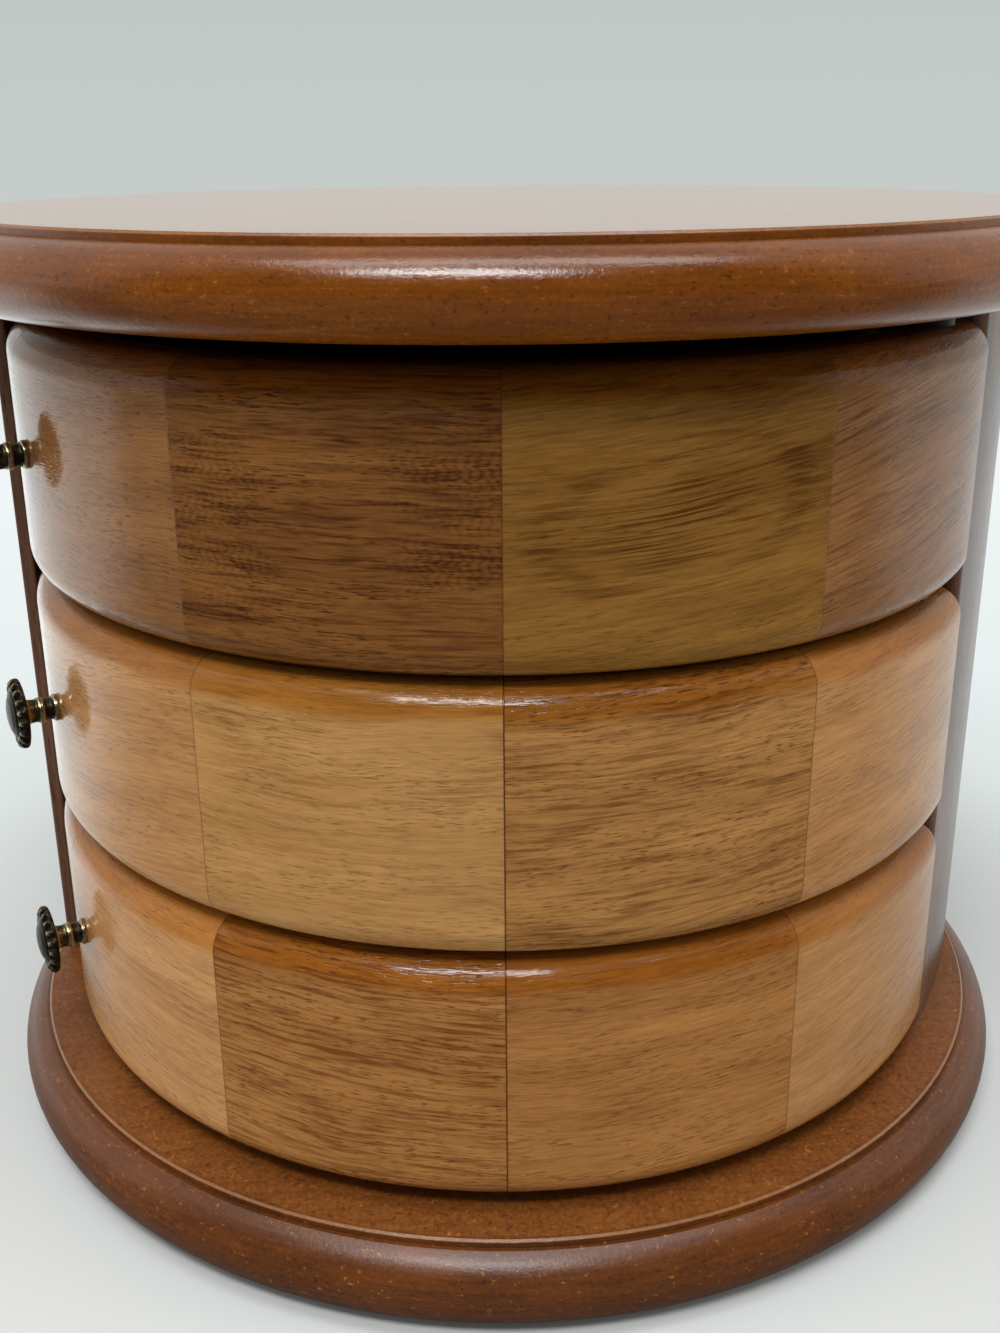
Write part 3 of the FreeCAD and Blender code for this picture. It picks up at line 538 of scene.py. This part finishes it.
def old_brass():
    """Dark patina, rubbed back to brass on the crests that the mesh marks as worn."""
    finish = Finish("old_brass")
    mottle = finish.noise(finish.place(), 1.3, detail=3.0, rough=0.6)
    wear = finish.node("ShaderNodeAttribute", {"attribute_name": "wear"}, (), "Fac")
    rubbed = (wear + (mottle - 0.5) * 0.9).step(0.45, 0.95)
    colour = finish.ramp(rubbed, *BRASS_TONES)
    rough = 0.42 - rubbed * 0.2 + (mottle - 0.5) * 0.2
    return finish.surface(Base_Color=colour, Metallic=1.0, Roughness=rough,
                          Normal=finish.bump(mottle, 0.25, RELIEF))


def grained(name, dark, light, grain, relief, **values):
    """Finish that wavers between two colours on a fine grain, whose size is in millimetres."""
    finish = Finish(name)
    place = finish.place()
    fine = finish.noise(place, grain, detail=3.0, rough=0.65)
    broad = finish.noise(place, 14.0)
    colour = finish.ramp(fine * 0.6 + broad * 0.4, (0.3, dark), (0.7, light))
    return finish.surface(Base_Color=colour, Normal=finish.bump(fine, relief, RELIEF), **values)


# Half the floor's side in metres. Then, in millimetres, how far behind the axis its glow is centred,
# and where each change starts and is full: from shadowed floor to glow round the box and towards the
# back, glow all round far off, brighter under the window, and darker in front.
FLOOR_HALF = 3.0
GLOW_BACK = 40.0
BEYOND_BOX = (105.0, 200.0)
TOWARDS_BACK = (-70.0, 80.0)
FAR_OFF = (300.0, 600.0)
UNDER_WINDOW = (60.0, 200.0)
IN_FRONT = (-60.0, 130.0)

# The glow's colours as it goes outwards, and what gloss sees of the room.
FLOOR_GLOW = ((0.05, tone(218, 225, 223)), (0.09, tone(232, 240, 240)), (0.2, tone(241, 247, 248)),
              (0.45, tone(216, 222, 220)))
DIM_FLOOR = (0.06, 0.055, 0.05)
DIM_ROOM = (0.05, 0.045, 0.04)
BRIGHT_ROOM = (0.7, 0.71, 0.68)
ZENITH = tone(190, 197, 195)


def floor_finish(near, far):
    """Pale floor that takes the box's shadow, and past that fades to the sky's own colour.

    In reflections it darkens towards the camera, where the room in front is dark, and it is brighter
    on the left, under the window.
    """
    finish = Finish("floor")
    x, y, z = finish.place()
    behind = y - GLOW_BACK
    away = (x * x + behind * behind) ** 0.5
    gloss = finish.ray("Is Glossy Ray")
    matt = {"Base Color": rgba(near), "Roughness": 0.7, "Specular IOR Level": 0.1}
    lit = finish.node("ShaderNodeBsdfPrincipled", None, matt)
    glow = finish.ramp(away / (FLOOR_HALF * MM), *FLOOR_GLOW, (1.0, far))
    strength = 1.0 + gloss * (-x).step(*UNDER_WINDOW) * 0.6
    shown = finish.node("ShaderNodeEmission", None, (glow, strength))
    share = (away.step(*BEYOND_BOX) * y.step(*TOWARDS_BACK)).most(away.step(*FAR_OFF))
    both = finish.node("ShaderNodeMixShader", None, (share, lit, shown))
    dim = finish.node("ShaderNodeEmission", None, (rgba(DIM_FLOOR), 1.0))
    darker = (-y).step(*IN_FRONT) * 0.92 * gloss
    seen = finish.node("ShaderNodeMixShader", None, (darker, both, dim))
    finish.node("ShaderNodeOutputMaterial", None, {"Surface": seen})
    return finish.material


def make_sky(horizon, light):
    """Sky that shows the pale backdrop to the eye and to gloss, dark where the room is in front."""
    world = bpy.data.worlds.new("sky")
    world.use_nodes = True
    tree = Tree(world.node_tree)
    x, y, z = tree.parts(tree.node("ShaderNodeTexCoord", None, (), "Generated"))
    backdrop = tree.ramp(z * 4.0, (0.0, horizon), (0.5, ZENITH))
    in_front = (-y).step(0.05, 0.45) * (1.0 - z.step(0.75, 0.95))
    mirrored = tree.mix(in_front, BRIGHT_ROOM, DIM_ROOM)
    unseen = tree.mix(tree.ray("Is Glossy Ray"), (light, light, light), mirrored)
    colour = tree.mix(tree.ray("Is Camera Ray"), unseen, backdrop)
    shown = tree.node("ShaderNodeBackground", None, (colour, 1.0))
    tree.node("ShaderNodeOutputWorld", None, {"Surface": shown})
    return world


class Lamp(NamedTuple):
    """A soft lamp: where it stands, its width and height in metres, and its power in watts."""
    place: tuple
    size: tuple
    power: float


LAMPS = {
    "window": Lamp((-0.12, -0.66, 1.02), (0.55, 0.2), 8.0),
    "left_fill": Lamp((-0.95, -0.05, 0.35), (0.5, 0.5), 1.9),
    "right_fill": Lamp((0.95, -0.05, 0.35), (0.5, 0.5), 2.2),
    "overhead": Lamp((0.0, -0.25, 1.32), (1.2, 0.36), 6.3),
}
LAMP_AIM = (0.0, 0.0, 0.1)

# Width in millimetres of the film that the lens is given for.
LONG_SIDE = 36.0


def make_lamp(name, lamp):
    """One soft lamp, turned to LAMP_AIM. The fills light the box and don't show in its gloss."""
    data = bpy.data.lights.new(name, "AREA")
    data.shape = "RECTANGLE"
    data.size, data.size_y = lamp.size
    data.energy = lamp.power
    light = bpy.data.objects.new(name, data)
    light.location = lamp.place
    light.visible_glossy = "fill" not in name
    aim = Vector(LAMP_AIM) - Vector(lamp.place)
    light.rotation_euler = aim.to_track_quat("-Z", "Y").to_euler()
    bpy.context.scene.collection.objects.link(light)


def camera_matrix(settings):
    """Camera's place and turn, as fitted to the photographed view."""
    yaw, pitch, roll = settings.camera_yaw, settings.camera_pitch, settings.camera_roll
    level = Vector((math.cos(yaw), -math.sin(yaw), 0.0))
    ahead = Vector((math.sin(yaw) * math.cos(pitch), math.cos(yaw) * math.cos(pitch), math.sin(pitch)))
    upright = level.cross(ahead)
    right = math.cos(roll) * level + math.sin(roll) * upright
    up = math.cos(roll) * upright - math.sin(roll) * level
    turn = Matrix((right, up, -ahead)).transposed().to_4x4()
    return Matrix.Translation(Vector(settings.camera_place)) @ turn


def skin(name, stacks, body, stands_for, material):
    """Closed mesh over stacks of closed rings, with a middle point at each end of every stack.

    Each stack has the shape (rings, places, 3). Neighbouring rings are joined by four-sided faces,
    and the end rings by triangles to their mean. Each ring runs counter-clockwise seen from its
    stack's far end, so that the faces point outwards.
    """
    count, around = stacks[0].shape[:2]
    middle = count * around
    here = np.arange(around)
    beyond = (here + 1) % around
    foot = (np.arange(count - 1) * around)[:, None]
    last = middle - around
    quads = np.stack((foot + here, foot + beyond, foot + around + beyond, foot + around + here), -1)
    first_fan = np.stack((beyond, here, np.full(around, middle)), -1)
    last_fan = np.stack((last + here, last + beyond, np.full(around, middle + 1)), -1)
    points = []
    faces = []
    for number, rings in enumerate(stacks):
        points += [rings.reshape(-1, 3), rings[:1].mean(axis=1), rings[-1:].mean(axis=1)]
        for part in (quads.reshape(-1, 4), first_fan, last_fan):
            faces += (part + number * (middle + 2)).tolist()
    mesh = bpy.data.meshes.new(name)
    mesh.from_pydata(np.vstack(points).tolist(), [], faces)
    mesh.shade_smooth()
    mesh.materials.append(material)
    piece = bpy.data.objects.new(name, mesh)
    bpy.context.scene.collection.objects.link(piece)
    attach(piece, body)
    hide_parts(stands_for)
    return piece


def softened(corners, step, reach):
    """A path through corners, in points about a step apart, its corners rounded by a running mean.

    reach is how many points the mean takes in to each side. The two ends stay where they are.
    """
    corners = np.array(corners, dtype=float)
    legs = np.linalg.norm(np.diff(corners, axis=0), axis=1)
    gone = np.concatenate(([0.0], np.cumsum(legs)))
    marks = np.linspace(0.0, gone[-1], int(gone[-1] / step) + 2)
    path = np.stack([np.interp(marks, gone, corners[:, axis]) for axis in (0, 1)], axis=1)
    padded = np.vstack([path[:1]] * reach + [path] + [path[-1:]] * reach)
    window = np.ones(2 * reach + 1) / (2 * reach + 1)
    eased = np.stack([np.convolve(padded[:, axis], window, "valid") for axis in (0, 1)], axis=1)
    eased[0], eased[-1] = path[0], path[-1]
    return eased


# Half section of a knob: radius and distance from the wood, in millimetres. The beads stand on the
# bevel near BEVEL_RADIUS, past BEVEL_FOOT. The stem ends at STEM_END, and the crown starts at CROWN.
# A bead's own swell is sunk by BEAD_SINK of its height, and BEAD_LIFT of it goes outwards.
KNOB_SECTION = (
    (0.05, 0.0), (2.7, 0.0), (2.7, 0.8), (2.15, 1.3), (2.15, 2.4), (2.6, 2.9), (2.6, 3.7),
    (2.25, 4.2), (2.35, 5.4), (2.8, 6.3), (5.9, 6.35), (6.85, 6.6), (6.95, 7.4), (6.3, 8.15),
    (5.3, 8.5), (4.75, 8.2), (4.4, 8.65), (3.0, 9.25), (1.5, 9.55), (0.05, 9.6))
BEVEL_RADIUS = 6.25
BEVEL_SPREAD = 0.75
BEVEL_FOOT = 6.9
STEM_RADIUS = 2.6
STEM_END = 6.0
CROWN = 9.3
BEAD_SINK = 0.4
BEAD_LIFT = 0.9
POINTS_PER_BEAD = 10


def make_knob(drawer, material):
    """Turned stem and beaded head of one knob.

    The surface is a half section of radius and distance from the wood, turned about the knob's own
    line. On the bevel of the head both swell with the cosine of the angle, once for each bead, by a
    share that rises and falls with the radius as a bell curve. Wear is high on the crests of the
    beads, on the stem's rings and on the crown.
    """
    settings = bpy.context.scene.box_knobs
    low, high = corners_of(drawer + "_knob")
    outwards = np.array((math.sin(KNOB_AZIMUTH), -math.cos(KNOB_AZIMUTH), 0.0))
    upwards = np.array((0.0, 0.0, 1.0))
    sideways = np.cross(upwards, outwards)
    root = np.array((0.0, FRONT_CENTRE_Y, (low[2] + high[2]) / 2.0)) + outwards * FRONT_RADIUS
    radius, rise = softened(KNOB_SECTION, step=0.12, reach=2).T
    bevel = np.exp(-((radius - BEVEL_RADIUS) / BEVEL_SPREAD) ** 2) * (rise > BEVEL_FOOT)
    angles = np.linspace(0.0, 2.0 * np.pi, settings.beads * POINTS_PER_BEAD, endpoint=False)
    crest = np.cos(settings.beads * angles)
    swell = settings.bead_height * MM * bevel[:, None] * (crest - BEAD_SINK)
    wide = radius[:, None] + swell
    tall = rise[:, None] + BEAD_LIFT * swell
    rings = (root + (wide * np.cos(angles) / MM)[..., None] * sideways
             + (wide * np.sin(angles) / MM)[..., None] * upwards + (tall / MM)[..., None] * outwards)
    piece = skin(drawer + "_beaded_knob", [rings], drawer + "_drawer", drawer + "_knob",
                 material)

    stem = (0.4 + 0.5 * np.exp(-((radius - STEM_RADIUS) / 0.3) ** 2)) * (rise < STEM_END)
    crown = 0.5 * (rise > CROWN)
    worn = (stem + crown)[:, None] + bevel[:, None] * (0.5 + 0.5 * crest)
    worn = np.concatenate((worn.ravel(), (0.0, 0.6)))
    mark = piece.data.attributes.new("wear", "FLOAT", "POINT")
    mark.data.foreach_set("value", np.clip(worn, 0.0, 1.0).astype(np.float32))


def tray_reach(angles, drawer):
    """How far the lining reaches from its middle towards each angle, in metres.

    It is the least of the round wall's radius, the distance to the flat side, and the distance to the
    corner that is cut out for the glue block, with the corners rounded by a running mean.
    """
    high = corners_of(drawer + "_lining")[1]
    block_low, block_high = corners_of(drawer + "_corner_block")
    far = 1.0
    cosine, sine = np.cos(angles), np.sin(angles)
    right = np.maximum(cosine, 1e-6)
    down = np.maximum(-sine, 1e-6)
    wall = np.full(angles.shape, high[1] - FRONT_CENTRE_Y)
    flat = np.where(cosine > 0.0, high[0] / right, far)
    notch_side = (block_low[0] - CLEARANCE) / right
    notch_top = (FRONT_CENTRE_Y - block_high[1] - CLEARANCE) / down
    notch = np.where((cosine > 0.0) & (sine < 0.0), np.maximum(notch_side, notch_top), far)
    reach = np.minimum(np.minimum(wall, flat), notch)
    span = 3
    wrapped = np.concatenate((reach[-span:], reach, reach[:span]))
    return np.convolve(wrapped, np.ones(2 * span + 1) / (2 * span + 1), "valid")


def make_lining(drawer, material):
    """Velvet tray lining with soft corners, as a skin that goes up outside and down inside.

    Every ring is the lining's plan drawn in by an inset, at a level, and the insets and levels follow
    one rounded profile from the middle underneath to the middle of the floor, in millimetres.
    """
    settings = bpy.context.scene.box_trays
    node = drawer + "_lining"
    low, high = corners_of(node)
    foot, top = low[2] * MM, high[2] * MM
    thick, puff = settings.lining_thick * MM, settings.lining_puff * MM
    middle, least = 40.0, 4.0
    corners = (
        (middle, foot + 0.05), (0.3, foot + 0.05), (0.0, foot + 0.6), (0.0, top - 0.5),
        (0.5, top - 0.05), (thick - 0.4, top - 0.05), (thick, top - 0.8),
        (thick + 0.3, foot + thick + 3.0), (thick + 1.0, foot + thick + 0.9),
        (thick + 3.2, foot + thick), (12.0, foot + thick), (middle, foot + thick + puff))
    inset, level = softened(corners, step=0.6, reach=1).T
    angles = np.linspace(0.0, 2.0 * np.pi, 360, endpoint=False)
    out = np.maximum(tray_reach(angles, drawer) * MM - inset[:, None], least)
    level = np.broadcast_to(level[:, None], out.shape)
    rings = np.stack((out * np.cos(angles), FRONT_CENTRE_Y * MM + out * np.sin(angles), level), -1)
    skin(drawer + "_velvet_lining", [rings / MM], drawer + "_drawer", node, material)


def make_ring_cushion(material):
    """Four soft rolls that hold rings, as one piece.

    A roll's section is round, a little flat underneath. Its radius falls over the last share of its
    length as a quarter of a superellipse, and is drawn in by faint gathers that wind round it.
    """
    settings = bpy.context.scene.box_trays
    low, high = corners_of("upper_ring_cushion")
    radius = (high[2] - low[2]) / 2.0
    half = (high[0] - low[0]) / 2.0 - 0.0004
    end_share = 0.09
    power = 2.4
    share = np.linspace(-1.0, 1.0, 97)
    angles = np.linspace(0.0, 2.0 * np.pi, 64, endpoint=False)
    tail = np.clip((np.abs(share) - (1.0 - end_share)) / end_share, 0.0, 1.0)
    swell = np.sqrt(np.maximum(1.0 - tail ** power, 0.0)) * 0.96 + 0.015
    gather = (1.0 + 0.012 * np.sin(share[:, None] * 9.0 + 3.0 * np.cos(angles))
              + 0.01 * np.cos(5.0 * angles + 14.0 * share[:, None]))
    reach = radius * 0.97 * swell[:, None] * gather
    along = np.broadcast_to(((low[0] + high[0]) / 2.0 + share * half)[:, None], reach.shape)
    up = np.maximum(low[2] + radius + reach * np.sin(angles), low[2] + CLEARANCE)
    centres = np.linspace(low[1] + radius, high[1] - radius, settings.rolls)
    rolls = [np.stack((along, centre + reach * np.cos(angles), up), -1) for centre in centres]
    piece = skin("upper_ring_rolls", rolls, "upper_drawer", "upper_ring_cushion", material)


def make_divider(material):
    """Velvet-covered divider: a slab whose section is a superellipse of power 6, rounded at its ends."""
    low, high = corners_of("middle_divider")
    middle, half = (low + high) / 2.0, (high - low) / 2.0
    power = 6
    end_from = 0.985
    angles = np.linspace(0.0, 2.0 * np.pi, 96, endpoint=False)
    cosine, sine = np.cos(angles), np.sin(angles)
    reach = (np.abs(cosine) ** power + np.abs(sine) ** power) ** (-1.0 / power)
    share = np.linspace(-1.0, 1.0, 61)
    end = np.clip((np.abs(share) - end_from) / (1.0 - end_from), 0.0, 1.0)
    shrink = (np.sqrt(1.0 - end ** 2) * 0.4 + 0.6)[:, None]
    along = middle[0] + share * (half[0] - CLEARANCE)
    across = middle[1] + half[1] * shrink * cosine * reach
    up = middle[2] + (half[2] - half[1] * (1.0 - shrink)) * sine * reach
    rings = np.stack((np.broadcast_to(along[:, None], across.shape), across, up), -1)
    skin("middle_velvet_divider", [rings], "middle_drawer", "middle_divider", material)


class BoxKnobs(bpy.types.PropertyGroup):
    """Knobs."""
    beads: IntProperty(name="Beads", description="Beads round each head", default=18, min=6)
    bead_height: FloatProperty(name="Bead height", description="How far a bead stands out",
                               unit="LENGTH", default=0.00034, min=0.0)


class BoxTrays(bpy.types.PropertyGroup):
    """Velvet in the trays."""
    lining_thick: FloatProperty(name="Lining", description="Thickness of velvet on card", unit="LENGTH",
                                default=0.0014)
    lining_puff: FloatProperty(name="Puff", description="How far the floor's velvet swells at its middle",
                               unit="LENGTH", default=0.0006)
    rolls: IntProperty(name="Rolls", description="Soft rolls that hold rings", default=4, min=1)
    velvet_colour: FloatVectorProperty(name="Velvet", description="Colour of the velvet", subtype="COLOR",
                                       default=tone(92, 28, 34))


class BoxStage(bpy.types.PropertyGroup):
    """Camera, lights and floor."""
    camera_place: FloatVectorProperty(name="Camera", description="Where the camera stands",
                                      subtype="TRANSLATION", unit="LENGTH", default=(0.0, -0.3154, 0.2024))
    camera_yaw: FloatProperty(name="Yaw", description="Camera's turn about the vertical", subtype="ANGLE",
                              default=math.radians(-0.14))
    camera_pitch: FloatProperty(name="Pitch", description="Camera's tilt, down is negative",
                                subtype="ANGLE", default=math.radians(-20.07))
    camera_roll: FloatProperty(name="Roll", description="Camera's roll", subtype="ANGLE",
                               default=math.radians(-0.51))
    lens: FloatProperty(name="Lens", description="Focal length for a 36 mm long side", default=38.98)
    floor_colour: FloatVectorProperty(name="Floor", description="Colour of the floor by the box",
                                      subtype="COLOR", default=(0.60, 0.625, 0.615))
    sky_colour: FloatVectorProperty(name="Horizon", description="Colour where the floor ends",
                                    subtype="COLOR", default=tone(198, 204, 201))
    sky_light: FloatProperty(name="Sky light", description="Even light from all round", default=0.42)


class BOX_OT_stage(bpy.types.Operator):
    """Camera, lamps, sky and floor."""
    bl_idname = "jewel_box.stage"
    bl_label = "Stage"

    def execute(self, context):
        scene = context.scene
        settings = scene.box_stage
        camera = bpy.data.cameras.new("camera")
        camera.lens = settings.lens
        camera.sensor_width = LONG_SIDE
        camera.clip_start = 0.01
        viewer = bpy.data.objects.new("camera", camera)
        viewer.matrix_world = camera_matrix(settings)
        scene.collection.objects.link(viewer)
        scene.camera = viewer

        corners = [(x * FLOOR_HALF, y * FLOOR_HALF, 0) for x, y in ((-1, -1), (1, -1), (1, 1), (-1, 1))]
        mesh = bpy.data.meshes.new("floor")
        mesh.from_pydata(corners, [], [(0, 1, 2, 3)])
        mesh.materials.append(floor_finish(tuple(settings.floor_colour), tuple(settings.sky_colour)))
        floor = bpy.data.objects.new("floor", mesh)
        scene.collection.objects.link(floor)

        for name, lamp in LAMPS.items():
            make_lamp(name, lamp)
        scene.world = make_sky(tuple(settings.sky_colour), settings.sky_light)
        scene.view_settings.view_transform = "Standard"
        return {"FINISHED"}


class BOX_OT_case(bpy.types.Operator):
    """Stain and lacquer on the boards, the back and the post."""
    bl_idname = "jewel_box.case"
    bl_label = "Case"

    def execute(self, context):
        for board, stain in BOARDS.items():
            dress(board, board_stain(board, stain))
        wood = case_wood()
        for node in ("back_shell", "hinge_post"):
            dress(node, wood)
        return {"FINISHED"}


class BOX_OT_fronts(bpy.types.Operator):
    """Five differently grained woods on each curved front."""
    bl_idname = "jewel_box.fronts"
    bl_label = "Fronts"

    def execute(self, context):
        for (drawer, number), plank in PLANKS.items():
            dress("%s_stave_%d" % (drawer, number), front_wood(drawer, number, plank))
        return {"FINISHED"}


class BOX_OT_knobs(bpy.types.Operator):
    """Dark brass knobs with beaded heads."""
    bl_idname = "jewel_box.knobs"
    bl_label = "Knobs"

    def execute(self, context):
        brass = old_brass()
        for drawer in DRAWERS:
            make_knob(drawer, brass)
        return {"FINISHED"}


class BOX_OT_trays(bpy.types.Operator):
    """Trays of plain wood, their velvet linings, the ring rolls and the divider."""
    bl_idname = "jewel_box.trays"
    bl_label = "Trays"

    def execute(self, context):
        wood = tray_wood("tray_wood", bent=False)
        bent_wood = tray_wood("bent_tray_wood", bent=True)
        pile = velvet("wine_velvet", tuple(context.scene.box_trays.velvet_colour))
        for drawer in DRAWERS:
            for part in ("tray_floor", "side_wall", "corner_block"):
                dress("%s_%s" % (drawer, part), wood)
            dress(drawer + "_back_wall", bent_wood)
            make_lining(drawer, pile)
        dress("post_dowels", wood)
        make_ring_cushion(pile)
        make_divider(pile)
        return {"FINISHED"}


class BOX_OT_hardware(bpy.types.Operator):
    """Rod, bushes, washers, screws, bumpers and the felt underneath."""
    bl_idname = "jewel_box.hardware"
    bl_label = "Hardware"

    def execute(self, context):
        steel = grained("turned_steel", (0.36, 0.36, 0.37), (0.56, 0.56, 0.58), 0.8, 0.05,
                        Metallic=1.0, Roughness=0.3)
        brass = grained("bush_brass", (0.45, 0.3, 0.1), (0.66, 0.46, 0.18), 0.9, 0.05,
                        Metallic=1.0, Roughness=0.32)
        nylon = grained("black_nylon", (0.012, 0.012, 0.012), (0.03, 0.029, 0.028), 0.7, 0.1,
                        Roughness=0.5)
        felt = grained("brown_felt", (0.03, 0.02, 0.014), (0.085, 0.06, 0.042), 0.45, 0.8,
                       Roughness=0.95, Specular_IOR_Level=0.1)
        for drawer in DRAWERS:
            dress(drawer + "_knob_screw", steel)
            dress(drawer + "_pivot_bush", brass)
        for node, material in (("pivot_rod", steel), ("case_screws", steel), ("pivot_washers", nylon),
                               ("base_felt", felt), ("stop_bumpers", felt)):
            dress(node, material)
        return {"FINISHED"}


class BOX_PT_box(bpy.types.Panel):
    """All the steps and their settings."""
    bl_label = "Jewellery Box"
    bl_space_type = "VIEW_3D"
    bl_region_type = "UI"
    bl_category = "Jewellery Box"

    def draw(self, context):
        for operator, group in STEPS:
            self.layout.operator(operator)
            settings = getattr(context.scene, group) if group else None
            for name in settings.__annotations__ if settings else ():
                self.layout.prop(settings, name)


GROUPS = {"box_stage": BoxStage, "box_knobs": BoxKnobs, "box_trays": BoxTrays}
STEPS = (("jewel_box.stage", "box_stage"), ("jewel_box.case", None), ("jewel_box.fronts", None),
         ("jewel_box.knobs", "box_knobs"), ("jewel_box.trays", "box_trays"), ("jewel_box.hardware", None))
CLASSES = (*GROUPS.values(), BOX_OT_stage, BOX_OT_case, BOX_OT_fronts, BOX_OT_knobs, BOX_OT_trays,
           BOX_OT_hardware, BOX_PT_box)


def register():
    for item in CLASSES:
        bpy.utils.register_class(item)
    for name, group in GROUPS.items():
        setattr(bpy.types.Scene, name, PointerProperty(type=group))


def unregister():
    for name in GROUPS:
        delattr(bpy.types.Scene, name)
    for item in reversed(CLASSES):
        bpy.utils.unregister_class(item)


def main():
    """Dress the whole box."""
    register()
    bpy.ops.jewel_box.stage()
    bpy.ops.jewel_box.case()
    bpy.ops.jewel_box.fronts()
    bpy.ops.jewel_box.knobs()
    bpy.ops.jewel_box.trays()
    bpy.ops.jewel_box.hardware()


if __name__ == "__main__":
    main()
